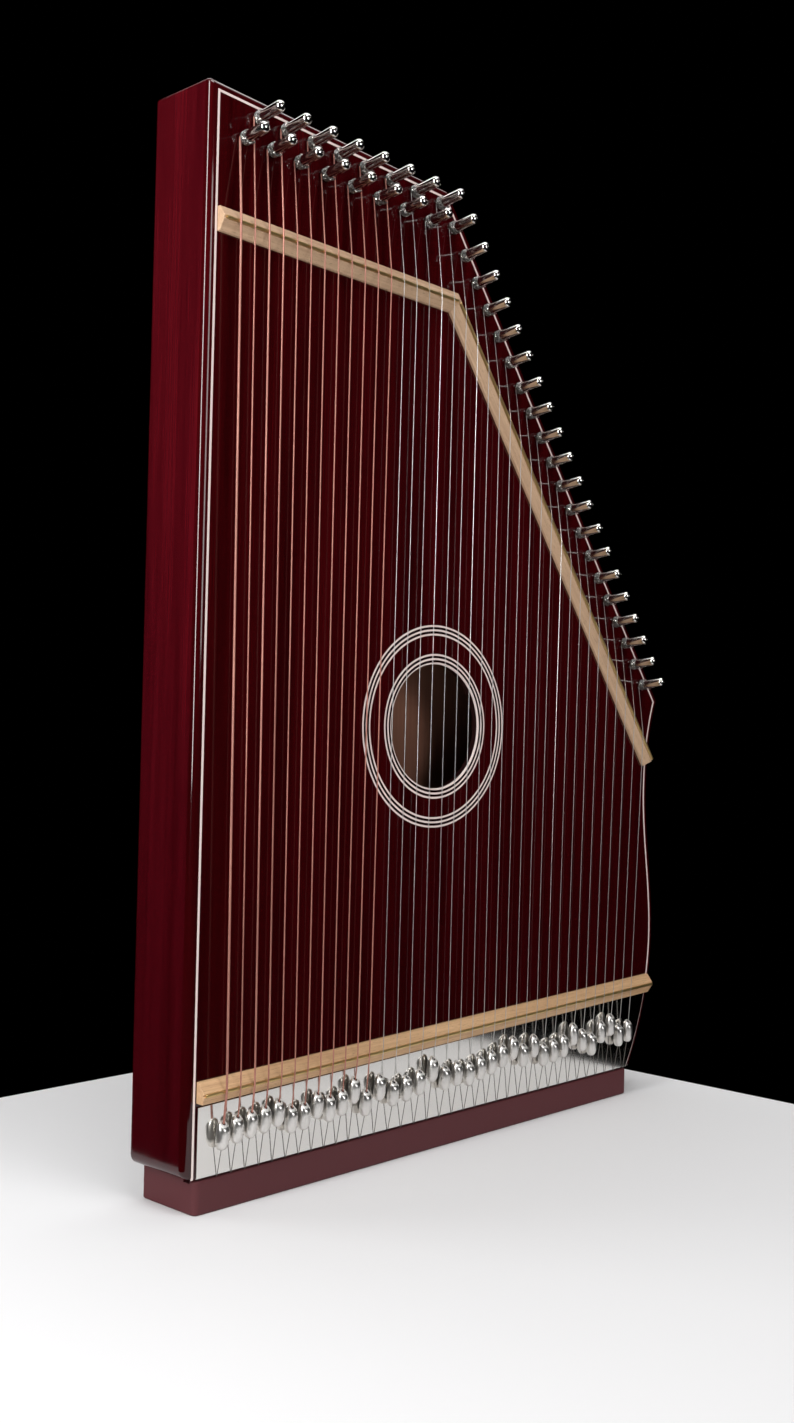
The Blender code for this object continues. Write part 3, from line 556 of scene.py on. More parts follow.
class Finish:
    """A material that is built node by node."""

    def __init__(self, name):
        self.material = bpy.data.materials.new(name)
        self.material.use_nodes = True
        self.tree = self.material.node_tree
        self.surface = self.tree.nodes["Principled BSDF"]

    def node(self, kind, settings=None, sockets=None, output=0):
        """Add a node, set it up and fill its sockets with values or signals."""
        made = self.tree.nodes.new('ShaderNode' + kind)
        for key, value in (settings or {}).items():
            setattr(made, key, value)
        for key, value in (sockets or {}).items():
            if isinstance(value, Signal):
                self.tree.links.new(value.socket, made.inputs[key])
            else:
                made.inputs[key].default_value = value
        return Signal(self, made.outputs[output])

    def place(self, scale=(1, 1, 1), turn=0.0):
        """Object coordinates in metres, turned about Y and scaled."""
        spot = self.node('TexCoord', output="Object")
        turned = self.node('Mapping', {"vector_type": 'POINT'}, {"Vector": spot, "Rotation": (0, turn, 0)})
        return self.node('Mapping', {"vector_type": 'POINT'}, {"Vector": turned, "Scale": scale})

    def noise(self, scale, detail=2.0, rough=0.5, turn=0.0, warp=0.0):
        """Noise whose scale is in cycles per metre along each axis."""
        return self.node('TexNoise', None, {"Vector": self.place(scale, turn), "Scale": 1.0, "Detail": detail,
                                            "Roughness": rough, "Distortion": warp}, "Fac")

    def spread(self, signal, low, high):
        """A signal stretched from a low and a high value to 0 and 1, and held there."""
        return self.node('MapRange', {"clamp": True},
                         {"Value": signal, "From Min": low, "From Max": high, "To Min": 0.0, "To Max": 1.0})

    def mix(self, factor, first, second):
        """One colour mixed into another."""
        first, second = [(*value, 1.0) if isinstance(value, (tuple, list)) and len(value) == 3 else value
                         for value in (first, second)]
        return self.node('Mix', {"data_type": 'RGBA'}, {0: factor, 6: first, 7: second}, 2)

    def bump(self, height, distance, strength=1.0):
        """A height in metres times distance as a bumped normal."""
        return self.node('Bump', None, {"Height": height, "Distance": distance, "Strength": strength})

    def finished(self, **sockets):
        """Fill the surface's sockets, named with underscores, and give back the material."""
        for key, value in sockets.items():
            socket = self.surface.inputs[key.replace("_", " ")]
            if isinstance(value, Signal):
                self.tree.links.new(value.socket, socket)
            else:
                socket.default_value = value
        return self.material


def lacquered_wood(name, deep, bright, gloss, ior, upright=True):
    """Glossy tinted lacquer over fine-grained wood; upright grain is stained deeper at the foot."""
    finish = Finish(name)
    fine = (900, 900, 14) if upright else (14, 900, 900)
    broad = (70, 70, 2.2) if upright else (2.2, 70, 70)
    pores = (1500, 1500, 60) if upright else (60, 1500, 1500)
    streaks = finish.noise(fine, detail=3.0, rough=0.6)
    bands = finish.noise(broad, detail=3.0, rough=0.55, warp=0.4)
    specks = finish.spread(finish.noise(pores, detail=1.0), 0.66, 0.74)
    tone = finish.spread(streaks * 0.45 + bands * 0.75, 0.40, 0.82)
    # Painted shade: on upright grain the tone falls towards the deep colour below 0.42 m and is darkest at the foot.
    if upright:
        height = finish.node('SeparateXYZ', None, {0: finish.place()}, 2)
        tone = tone * (finish.spread(height, 0.02, 0.42) * 0.75 + 0.25)
    tinted = finish.mix(tone, deep, bright)
    colour = finish.mix(specks * 0.35, tinted, deep)
    smudges = finish.spread(finish.noise((9, 9, 9), detail=4.0, rough=0.65), 0.45, 0.75)
    swell = finish.noise((60, 60, 60), detail=1.0)
    relief = swell + streaks * 0.04
    return finish.finished(Base_Color=colour, Roughness=smudges * 0.05 + gloss,
                           Normal=finish.bump(relief, 0.00004), IOR=ior)


def bridge_maple(name, light, dark, turn):
    """Bare waxed maple with its grain along the bridge and short brown flecks."""
    finish = Finish(name)
    grain = finish.noise((22, 700, 700), detail=4.0, rough=0.6, turn=turn, warp=0.3)
    bands = finish.noise((6, 160, 160), detail=2.0, turn=turn)
    flecks = finish.spread(finish.noise((260, 2600, 2600), detail=1.0, turn=turn), 0.64, 0.70)
    tone = finish.spread(grain * 0.6 + bands * 0.5, 0.36, 0.72)
    colour = finish.mix(flecks * 0.55, finish.mix(tone, dark, light), [part * 0.55 for part in dark])
    relief = grain + flecks * -0.5
    return finish.finished(Base_Color=colour, Roughness=tone * -0.12 + 0.52,
                           Normal=finish.bump(relief, 0.00006))


def bare_wood(name, light, dark):
    """Planed unfinished wood inside the box."""
    finish = Finish(name)
    grain = finish.noise((420, 420, 9), detail=4.0, rough=0.65, warp=0.5)
    rings = finish.noise((60, 60, 2), detail=2.0)
    tone = finish.spread(grain * 0.5 + rings * 0.6, 0.38, 0.74)
    return finish.finished(Base_Color=finish.mix(tone, dark, light), Roughness=tone * 0.12 + 0.68,
                           Normal=finish.bump(grain, 0.0001))


def celluloid(name, tint):
    """White binding under thin lacquer, with faint yellowing."""
    finish = Finish(name)
    clouds = finish.noise((40, 40, 40), detail=3.0)
    colour = finish.mix(finish.spread(clouds, 0.35, 0.7), tint, [tint[0] * 0.9, tint[1] * 0.86, tint[2] * 0.82])
    return finish.finished(Base_Color=colour, Roughness=clouds * 0.1 + 0.2)


def black_inlay(name):
    """Dark filler between the white rosette lines."""
    finish = Finish(name)
    clouds = finish.noise((300, 300, 300), detail=2.0)
    return finish.finished(Base_Color=finish.mix(clouds, (0.010, 0.002, 0.003), (0.022, 0.008, 0.009)),
                           Roughness=clouds * 0.1 + 0.12)


def polished_metal(name, tint, gloss, scratch_scale, wear=1.0):
    """Polished plated metal with hairline scratches and faint finger marks."""
    finish = Finish(name)
    hairlines = finish.noise(scratch_scale, detail=2.0, rough=0.7)
    marks = finish.spread(finish.noise((35, 35, 35), detail=4.0, rough=0.6), 0.45, 0.72)
    dulled = [part * 0.82 for part in tint]
    colour = finish.mix(marks * 0.5, tint, dulled)
    relief = hairlines * (0.03 * wear) + finish.noise((18, 18, 18), detail=1.0) * 0.1
    return finish.finished(Base_Color=colour, Metallic=1.0,
                           Roughness=hairlines * (0.04 * wear) + marks * (0.04 * wear) + gloss,
                           Normal=finish.bump(relief, 0.0001))


def drawn_brass(name, tint):
    """Drawn brass rod with draw lines and brown tarnish."""
    finish = Finish(name)
    lines = finish.noise((30, 1400, 1400), detail=2.0)
    tarnish = finish.spread(finish.noise((90, 400, 400), detail=4.0, rough=0.7), 0.42, 0.72)
    colour = finish.mix(tarnish * 0.6, tint, [tint[0] * 0.5, tint[1] * 0.42, tint[2] * 0.3])
    return finish.finished(Base_Color=colour, Metallic=0.35, Roughness=tarnish * 0.2 + 0.30,
                           Normal=finish.bump(lines, 0.00002))


def string_metal(name, tint, turns_per_metre, gloss, metallic):
    """Wire with its fine winding or draw marks along its length; tarnish makes it less metallic."""
    finish = Finish(name)
    height = finish.node('SeparateXYZ', None, {0: finish.place()}, 2)
    winding = finish.node('Math', {"operation": 'SINE'}, {0: height * (turns_per_metre * math.tau)})
    tarnish = finish.noise((60, 60, 9), detail=3.0)
    colour = finish.mix(finish.spread(tarnish, 0.35, 0.7), tint, [part * 0.72 for part in tint])
    return finish.finished(Base_Color=colour, Metallic=metallic, Roughness=tarnish * 0.15 + gloss,
                           Normal=finish.bump(winding, 0.00001))


def coil_metal(name, tint):
    """Wire wound tight on a pin, with dark gaps between its turns."""
    finish = Finish(name)
    painted_gap_shade = finish.spread(finish.noise((900, 900, 900), detail=2.0, rough=0.6), 0.44, 0.60)
    # Painted shade: the specks darken the wire's colour to 0.14 of its tint; they also set its roughness and bump.
    colour = finish.mix(painted_gap_shade, [part * 0.14 for part in tint], tint)
    return finish.finished(Base_Color=colour, Metallic=1.0, Roughness=painted_gap_shade * -0.24 + 0.42,
                           Normal=finish.bump(painted_gap_shade, 0.0003))


def finish_named(name):
    """A finish that an earlier operator has made."""
    return bpy.data.materials[name]


def make_finishes(colours):
    """Build every material of the instrument."""
    lacquered_wood("side_lacquer", tuple(colours.side_deep), tuple(colours.side_bright), 0.06, 1.50)
    lacquered_wood("board_lacquer", tuple(colours.board_deep), tuple(colours.board_bright), 0.06, 1.50)
    lacquered_wood("rail_lacquer", tuple(colours.rail_deep), tuple(colours.rail_bright), 0.16, 1.36,
                   upright=False)
    bridge_maple("level_maple", tuple(colours.maple_light), tuple(colours.maple_dark), 0.0)
    bridge_maple("warm_maple", tuple(colours.warm_light), tuple(colours.warm_dark), 0.0)
    bare_wood("bare_wood", tuple(colours.bare_light), tuple(colours.bare_dark))
    celluloid("white_inlay", tuple(colours.inlay))
    black_inlay("black_inlay")
    polished_metal("mirror_steel", tuple(colours.steel), 0.0, (900, 900, 40), wear=0.05)
    polished_metal("nickel_plate", tuple(colours.nickel), 0.12, (500, 500, 500))
    drawn_brass("crest_brass", tuple(colours.brass))
    polished_metal("bead_nickel", tuple(colours.nickel), 0.28, (400, 400, 400))
    polished_metal("bead_lip", tuple(colours.lip), 0.60, (400, 400, 400))
    string_metal("bronze_winding", tuple(colours.bronze), 2400, 0.32, 0.45)
    string_metal("steel_wire", tuple(colours.wire), 900, 0.12, 1.0)
    string_metal("painted_shade_wire", tuple(colours.core), 900, 0.30, 1.0)
    coil_metal("steel_coil", tuple(colours.nickel))


# Operators


class SWARMANDAL_OT_finishes(bpy.types.Operator):
    """Mix the lacquers, metals and woods"""

    bl_idname = "swarmandal.finishes"
    bl_label = "Finishes"

    def execute(self, context):
        plan, colours = Plan(context.scene), context.scene.swarmandal_colour
        make_finishes(colours)
        slope_turn = math.atan2(plan.down_slope.y, plan.down_slope.x)
        bridge_maple("slope_maple", tuple(colours.maple_light), tuple(colours.maple_dark), slope_turn)
        return {'FINISHED'}


def pin_joint(number):
    """The joint of a tuning pin."""
    wanted = f"pin_{number:02d}_turn"
    for joint in JOINTS:
        if joint["name"] == wanted:
            return joint
    raise RuntimeError(f"the frame has no joint {wanted}")


def pin_matrix(number):
    """Stand a pin's own z axis, which points out of the board, on its joint."""
    joint = pin_joint(number)
    out = -Vector(joint["axis"]).normalized()
    side = ACROSS
    turn = Matrix((side, out.cross(side), out)).transposed().to_4x4()
    return Matrix.Translation(Vector(joint["pos_m"]) - CORNER) @ turn


def pin_numbers():
    """Numbers of all tuning pins, in string order."""
    return range(1, len(JOINTS) + 1)


def pin_reach(sizes, number):
    """How far a pin stands out; the inner row's pins are shorter."""
    top_rows = 16
    inner = number <= top_rows and number % 2 == 1
    return sizes.short_pin if inner else sizes.long_pin


class SWARMANDAL_OT_box(bpy.types.Operator):
    """Shape the lacquered box: soundboard, sides and back"""

    bl_idname = "swarmandal.box"
    bl_label = "Box"

    def execute(self, context):
        plan = Plan(context.scene)
        self.soundboard(plan, context.scene)
        self.sides(plan)
        self.back(plan)
        return {'FINISHED'}

    def soundboard(self, plan, scene):
        """The front board with its rounded rim, soundhole and pin holes."""
        box = plan.box
        rings = [(plan.rounded(), box.board)] + rim_rings(plan, box.front_round, 0, foot_rounded=False)
        mesh = ringed_board(rings)
        for face in mesh.faces:
            face.material_index = 1 if face.normal.y > 0.9 else 0
        looks = [finish_named("board_lacquer"), finish_named("bare_wood")]
        piece = add_piece("front_board", stored("front_board", mesh, looks))
        holes = bmesh.new()
        bore = scene.swarmandal_string.pin_radius + scene.swarmandal_string.hole_clear
        for number in pin_numbers():
            bmesh.ops.create_cone(holes, cap_ends=True, segments=24, radius1=bore, radius2=bore,
                                  depth=4 * box.board, matrix=pin_matrix(number))
        radius = box.hole_radius + scene.swarmandal_inlay.line_width
        hole = spun(((0, -box.board), (radius, -box.board), (radius, 2 * box.board), (0, 2 * box.board)),
                    128, 'Y', closed=True)
        bmesh.ops.translate(hole, verts=hole.verts, vec=(box.hole_x, 0, box.hole_height))
        cut_away(piece, [holes, hole])
        flatten_shading(piece)
        mount(piece, HELD, ["soundboard"])

    def sides(self, plan):
        """The band of sides round the box, open at the foot where the tail block closes it."""
        box = plan.box
        mesh = outline_prism(plan.rounded(), box.board, box.depth - box.board)
        looks = [finish_named("side_lacquer"), finish_named("bare_wood")]
        piece = add_piece("side_panels", stored("side_panels", mesh, looks))
        inside = outline_prism(plan.inset(box.wall, bottom=-box.wall), 0, box.depth)
        for face in inside.faces:
            face.material_index = 1
        cut_away(piece, [inside])
        flatten_shading(piece)
        mount(piece, HELD, ["left_side", "top_side", "slope_side", "right_side"])

    def back(self, plan):
        """The back board with its rounded rim."""
        box = plan.box
        rings = rim_rings(plan, box.depth - box.back_round, box.depth, foot_rounded=True)
        mesh = ringed_board([(plan.rounded(), box.depth - box.board)] + rings)
        for face in mesh.faces:
            face.material_index = 1 if face.normal.y < -0.9 else 0
        looks = [finish_named("side_lacquer"), finish_named("bare_wood")]
        piece = add_piece("back_panel", stored("back_panel", mesh, looks))
        flatten_shading(piece)
        mount(piece, HELD, ["back_board"])


class SWARMANDAL_OT_inner_woodwork(bpy.types.Operator):
    """Give the blocks and braces inside the box their bare wood"""

    bl_idname = "swarmandal.inner_woodwork"
    bl_label = "Inner woodwork"

    def execute(self, context):
        for node in ("top_pin_block", "slope_pin_block", "upper_brace", "lower_brace"):
            self.dress(node, finish_named("bare_wood"))
        self.dress("tail_block", finish_named("side_lacquer"))
        return {'FINISHED'}

    def dress(self, node, look):
        """Put one finish on a node that stays."""
        data = frame["nodes"][node].data
        data.materials.clear()
        data.materials.append(look)


class SWARMANDAL_OT_inlays(bpy.types.Operator):
    """Lay in the white line and the rosette"""

    bl_idname = "swarmandal.inlays"
    bl_label = "Inlays"

    def execute(self, context):
        plan, sizes = Plan(context.scene), context.scene.swarmandal_inlay
        self.purfling(plan, sizes)
        self.band("rosette_ring_inner", "rosette_inner", plan, sizes, lined=True)
        self.band("rosette_ring_outer", "rosette_outer", plan, sizes, lined=False)
        return {'FINISHED'}

    def purfling(self, plan, sizes):
        """The white line just inside the edge."""
        half = sizes.purfling_width / 2
        mesh = bmesh.new()
        runs = []
        for distance in (sizes.purfling_inset - half, sizes.purfling_inset + half):
            points = plan.inset(distance, bottom=0)
            points = points[1:] + points[:1]
            verts = [mesh.verts.new((point.x, -sizes.proud, point.y)) for point in points]
            runs += [mesh.edges.new(pair) for pair in zip(verts, verts[1:])]
        faces = bmesh.ops.bridge_loops(mesh, edges=runs)["faces"]
        made = bmesh.ops.extrude_face_region(mesh, geom=faces)["geom"]
        verts = [item for item in made if isinstance(item, bmesh.types.BMVert)]
        bmesh.ops.translate(mesh, verts=verts, vec=(0, sizes.thickness, 0))
        bmesh.ops.recalc_face_normals(mesh, faces=mesh.faces)
        piece = add_piece("purfling_line", stored("purfling_line", mesh, [finish_named("white_inlay")]))
        mount(piece, HELD, ["purfling"])

    def band(self, name, node, plan, sizes, lined):
        """Three white lines with dark filler between them; the inner band also lines the hole."""
        box = plan.box
        inner = box.hole_radius if lined else sizes.outer_radius
        face, back = -sizes.proud, sizes.thickness - sizes.proud
        radii = []
        for line in range(3):
            radii += [inner + sizes.line_pitch * line, inner + sizes.line_pitch * line + sizes.line_width]
        profile = [(radii[-1], back)] + [(radius, face) for radius in reversed(radii[1:])]
        if lined:
            bend = sizes.lining_round
            for step in range(5):
                angle = math.pi / 2 * step / 4
                profile.append((inner + bend - bend * math.sin(angle), face + bend - bend * math.cos(angle)))
            profile += [(inner, box.board), (inner + sizes.line_width, box.board),
                        (inner + sizes.line_width, back)]
        else:
            profile += [(inner, face), (inner, back)]
        mesh = spun(profile, 128, 'Y', closed=True)
        for poly in mesh.faces:
            centre = poly.calc_center_median()
            radius = math.hypot(centre.x, centre.z) - inner
            dark = sizes.line_width < radius % sizes.line_pitch and radius > 0
            # Painted shade: the hole's wall behind the white rounding takes the dark filler.
            wall = lined and radius < 1e-5 and centre.y > face + sizes.lining_round
            poly.material_index = 1 if wall or dark and abs(centre.y - face) < 1e-5 else 0
        bmesh.ops.translate(mesh, verts=mesh.verts, vec=(box.hole_x, 0, box.hole_height))
        looks = [finish_named("white_inlay"), finish_named("black_inlay")]
        piece = add_piece(name, stored(name, mesh, looks))
        mount(piece, HELD, [node])


class SWARMANDAL_OT_foot_rail(bpy.types.Operator):
    """Shape the rail under the box"""

    bl_idname = "swarmandal.foot_rail"
    bl_label = "Foot rail"

    def execute(self, context):
        rail, clear = context.scene.swarmandal_rail, context.scene.swarmandal_string.clear
        front, back = -rail.proud, rail.depth - rail.proud
        pocket_end = rail.pocket_start + rail.pocket_width
        section = ((front, -rail.height), (back, -rail.height), (back, -clear), (pocket_end, -clear),
                   (pocket_end, -rail.pocket_drop), (rail.pocket_start, -rail.pocket_drop),
                   (rail.pocket_start, -rail.lip_drop), (front, -rail.lip_drop))
        mesh = bmesh.new()
        face = mesh.faces.new([mesh.verts.new((rail.start, y, z)) for y, z in section])
        made = bmesh.ops.extrude_face_region(mesh, geom=[face])["geom"]
        verts = [item for item in made if isinstance(item, bmesh.types.BMVert)]
        bmesh.ops.translate(mesh, verts=verts, vec=(rail.reach, 0, 0))
        bmesh.ops.recalc_face_normals(mesh, faces=mesh.faces)
        round_edges(mesh, [edge for edge in mesh.edges if self.is_corner(edge, front, back)],
                    rail.corner_round, 8)
        round_edges(mesh, [edge for edge in mesh.edges if self.is_rim(edge, front, back, rail)],
                    rail.edge_round, 4)
        piece = add_piece("rail", stored("rail", mesh, [finish_named("rail_lacquer")]))
        flatten_shading(piece)
        mount(piece, HELD, ["foot_rail"])
        return {'FINISHED'}

    def is_corner(self, edge, front, back):
        """True for the rail's four upright corner edges."""
        first, last = (vert.co for vert in edge.verts)
        upright = abs(first.z - last.z) > 1e-6 and abs(first.y - last.y) < 1e-6
        return upright and min(abs(first.y - front), abs(first.y - back)) < 1e-6

    def is_rim(self, edge, front, back, rail):
        """True for the outer edges of the rail's top and foot."""
        level = [abs(face.normal.z) > 0.9 for face in edge.link_faces]
        middle = (edge.verts[0].co + edge.verts[1].co) / 2
        near_end = min(middle.x - rail.start, rail.start + rail.reach - middle.x) < rail.corner_round
        near_side = min(middle.y - front, back - middle.y) < rail.corner_round
        in_pocket = -1e-6 < middle.y - rail.pocket_start < rail.pocket_width + 1e-6 and middle.z > -rail.height / 2
        return any(level) and not all(level) and (near_end or near_side) and not in_pocket


class SWARMANDAL_OT_tail_plate(bpy.types.Operator):
    """Cut the polished plate below the bottom bridge"""

    bl_idname = "swarmandal.tail_plate"
    bl_label = "Tail plate"

    def execute(self, context):
        plan, inlay = Plan(context.scene), context.scene.swarmandal_inlay
        bridge, clear = plan.bridge, context.scene.swarmandal_string.clear
        bridge_edge = moved(plan.bottom_crest, bridge.width / 2)
        right_gap = inlay.purfling_inset + inlay.purfling_width / 2 + clear
        edge = plan.inset(right_gap, bottom=clear)[1:-1]
        corner = run_crossing(edge, bridge_edge)
        right = [point for point in edge if point.y < corner.y] + [corner]
        left = upright_line(bridge.plate_start)
        points = [Vector((bridge.plate_start, clear))] + right + [meet(bridge_edge, left)]
        front = -clear - bridge.plate_thickness
        mesh = outline_prism(points, front, 0)
        round_edges(mesh, edges_at(mesh, front), 0.00025, 2)
        piece = add_piece("polished_plate", stored("polished_plate", mesh, [finish_named("mirror_steel")]))
        flatten_shading(piece)
        mount(piece, HELD, ["tail_plate"])
        return {'FINISHED'}


def rod_height(bridge):
    """Height of a crest rod's centre in its seat."""
    lean = math.atan2(bridge.seat_depth, bridge.crest_half)
    return bridge.height - bridge.seat_depth + bridge.rod_radius / math.cos(lean)


def lifted(point, height):
    """A point of the plan, raised in front of the soundboard."""
    return Vector((point.x, -height, point.y))


class SWARMANDAL_OT_bridges(bpy.types.Operator):
    """Shape the maple bridges and their brass rods"""

    bl_idname = "swarmandal.bridges"
    bl_label = "Bridges"

    def execute(self, context):
        plan, inlay = Plan(context.scene), context.scene.swarmandal_inlay
        bridge, clear = plan.bridge, context.scene.swarmandal_string.clear
        half = bridge.width / 2
        start_line = moved(plan.left, inlay.purfling_inset + inlay.purfling_width / 2 + clear)
        edge = plan.inset(bridge.end_inset)[1:-1]
        top, slope, bottom = plan.top_crest, plan.slope_crest, plan.bottom_crest

        top_start = [meet(moved(top, side), start_line) for side in (-half, half)]
        kink = [meet(moved(top, side), moved(slope, side)) for side in (-half, half)]
        slope_end = self.square_end(slope, edge, half)
        left_cut = moved(plan.left, bridge.bottom_start)
        bottom_start = [meet(moved(bottom, -half), left_cut), meet(moved(bottom, half * bridge.left_taper), left_cut)]
        bottom_end = self.square_end(bottom, edge, half)
        self.bridge("maple_top_bridge", "top_bridge", top_start, kink, bridge, "level_maple")
        self.bridge("maple_slope_bridge", "slope_bridge", kink, slope_end, bridge, "slope_maple")
        self.bridge("maple_bottom_bridge", "bottom_bridge", bottom_start, bottom_end, bridge, "warm_maple",
                    crest_share=1 / (1 + bridge.left_taper), lower_skirt=bridge.left_skirt)

        crest_kink = meet(top, slope)
        back_off = bridge.rod_setback
        gap = bridge.rod_radius
        self.rod("top_crest_rod", "top_bridge_rod", meet(top, moved(start_line, back_off)),
                 crest_kink - Vector((gap, 0)), bridge)
        self.rod("slope_crest_rod", "slope_bridge_rod", crest_kink + plan.down_slope * gap,
                 run_crossing(edge, slope) - plan.down_slope * back_off, bridge)
        first, last = meet(bottom, left_cut), bottom_end[0].lerp(bottom_end[1], 0.5)
        way = (last - first).normalized() * back_off
        self.rod("bottom_crest_rod", "bottom_bridge_rod", first + way, last - way, bridge)
        return {'FINISHED'}

    def square_end(self, crest, edge, half):
        """Corners of a bridge that is cut square where its crest meets the edge."""
        centre = run_crossing(edge, crest)
        return [centre - crest[0] * half, centre + crest[0] * half]

    def section(self, bridge, crest_share, lower_skirt):
        """A bridge's section from its upper to its lower foot, as shares of its width and heights."""
        seat = bridge.crest_half / bridge.width
        return ((0, 0), (0, bridge.skirt), (crest_share - seat, bridge.height),
                (crest_share, bridge.height - bridge.seat_depth), (crest_share + seat, bridge.height),
                (1, lower_skirt), (1, 0))

    def bridge(self, name, node, start, end, bridge, look, crest_share=0.5, lower_skirt=None):
        """A bridge between two ends, each given by its upper and lower corner; the start may differ."""
        mesh = bmesh.new()
        upper, lower = start
        first = self.section(bridge, crest_share, lower_skirt or bridge.skirt)
        ring = [mesh.verts.new(lifted(upper.lerp(lower, share), height)) for share, height in first]
        made = bmesh.ops.extrude_face_region(mesh, geom=[mesh.faces.new(ring)])["geom"]
        far = [item for item in made if isinstance(item, bmesh.types.BMVert)]
        upper, lower = end
        for vert, (share, height) in zip(far, self.section(bridge, 0.5, bridge.skirt)):
            vert.co = lifted(upper.lerp(lower, share), height)
        bmesh.ops.recalc_face_normals(mesh, faces=mesh.faces)
        foot = 1e-6
        shown = [edge for edge in mesh.edges if any(vert.co.y < -foot for vert in edge.verts)]
        round_edges(mesh, shown, 0.00035, 3)
        piece = add_piece(name, stored(name, mesh, [finish_named(look)]))
        flatten_shading(piece)
        mount(piece, HELD, [node])

    def rod(self, name, node, start, end, bridge):
        """A brass rod with rounded ends along a crest."""
        here, there = lifted(start, rod_height(bridge)), lifted(end, rod_height(bridge))
        way = there - here
        radius, bend = bridge.rod_radius, bridge.rod_radius * 0.3
        profile = ((0.0, 0.0), (radius - bend, 0.0), (radius, bend), (radius, way.length - bend),
                   (radius - bend, way.length), (0.0, way.length))
        mesh = spun(profile, 20, 'Z', closed=True)
        turn = way.to_track_quat('Z', 'Y').to_matrix().to_4x4()
        bmesh.ops.transform(mesh, verts=mesh.verts, matrix=Matrix.Translation(here) @ turn)
        piece = add_piece(name, stored(name, mesh, [finish_named("crest_brass")]))
        mount(piece, HELD, [node])


WOUND_RADII = (0.00075, 0.00045, 0.00060, 0.00050)
# Runs of equal steps between strings on the bottom bridge: how many steps, and their pitch
BOTTOM_STEPS = ((11, 0.01075), (8, 0.0127), (16, 0.01196))
# Where a bead is widest, as a share of its length
BEAD_WIDEST = 0.6
BEAD_LIFTS = (0.032, 0.034, 0.035, 0.036, 0.038, 0.032, 0.032, 0.037, 0.033,
              0.035, 0.041, 0.031, 0.039, 0.033, 0.034, 0.036, 0.043, 0.035,
              0.036, 0.034, 0.036, 0.038, 0.041, 0.045, 0.038, 0.043, 0.035,
              0.036, 0.038, 0.045, 0.039, 0.034, 0.042, 0.046, 0.036, 0.038)


def bottom_steps(index):
    """Distance along the bottom bridge from the first string to another."""
    across = 0.0
    for steps, pitch in BOTTOM_STEPS:
        across += pitch * min(index, steps)
        index = max(index - steps, 0)
    return across


def string_radius(sizes, number):
    """Radius of a string above its bead."""
    if number <= len(WOUND_RADII):
        return WOUND_RADII[number - 1]
    return sizes.thin_radius if number <= sizes.wound_count else sizes.plain_radius


def coil_wire(sizes, number):
    """Radius of the wire that is wound on a pin; the thick strings have a bare core there."""
    return min(string_radius(sizes, number), sizes.thin_radius)


def string_finish(sizes, number):
    """Name of the finish of a string."""
    return "bronze_winding" if number <= sizes.wound_count else "steel_wire"


class StringRun:
    """Where one string runs, from its coil over both crests to the foot."""

    def __init__(self, scene, plan, number):
        sizes, bridge, rail = scene.swarmandal_string, plan.bridge, scene.swarmandal_rail
        self.radius = string_radius(sizes, number)
        self.thin = sizes.plain_radius
        self.wire = coil_wire(sizes, number)
        aside = -(sizes.pin_radius + self.wire)
        self.coil_end = pin_matrix(number) @ Vector((aside, 0, sizes.coil_leave))
        index = number - 1
        bottom = meet(plan.bottom_crest, upright_line(sizes.bottom_start + bottom_steps(index)))
        if index < sizes.top_count:
            across = sizes.top_pitch * index + sizes.top_widening * index ** 2
            top = meet(plan.top_crest, upright_line(sizes.top_start + across))
        else:
            upper = Vector((self.coil_end.x, self.coil_end.z))
            top = meet(plan.slope_crest, line_through(bottom, upper))
        over = rod_height(bridge) + bridge.rod_radius
        self.top = lifted(top, over + self.radius)
        self.crest = lifted(bottom, over + self.radius)
        plate_front = sizes.clear + bridge.plate_thickness
        self.low = Vector((bottom.x, -plate_front - self.thin * 2, sizes.clear))
        widest = sizes.bead_length * BEAD_WIDEST
        rest = Vector((bottom.x, -plate_front - sizes.clear - sizes.bead_radius, BEAD_LIFTS[index] - widest))
        self.down = (rest - self.crest).normalized()
        self.bead_top = rest - self.down * widest
        lip = -rail.lip_drop / 2
        self.foot = [Vector((bottom.x, -plate_front, lip)), Vector((bottom.x, rail.pocket_start, lip))]
        self.hitch = Vector((bottom.x, rail.pocket_start + rail.pocket_width / 2, lip - 0.0008))

    def stops(self, bead_length):
        """The string's stops, thin below its bead."""
        inside, below = (self.bead_top + self.down * bead_length * share for share in (0.5, 1.0))
        taper = self.coil_end.lerp(self.top, 0.06)
        stops = [(self.coil_end, self.wire), (taper, self.radius), (self.top, self.radius), (self.crest, self.radius),
                 (self.bead_top, self.radius), (inside, self.thin), (below, self.thin), (self.low, self.thin)]
        return stops + [(point, self.thin) for point in self.foot + [self.hitch]]


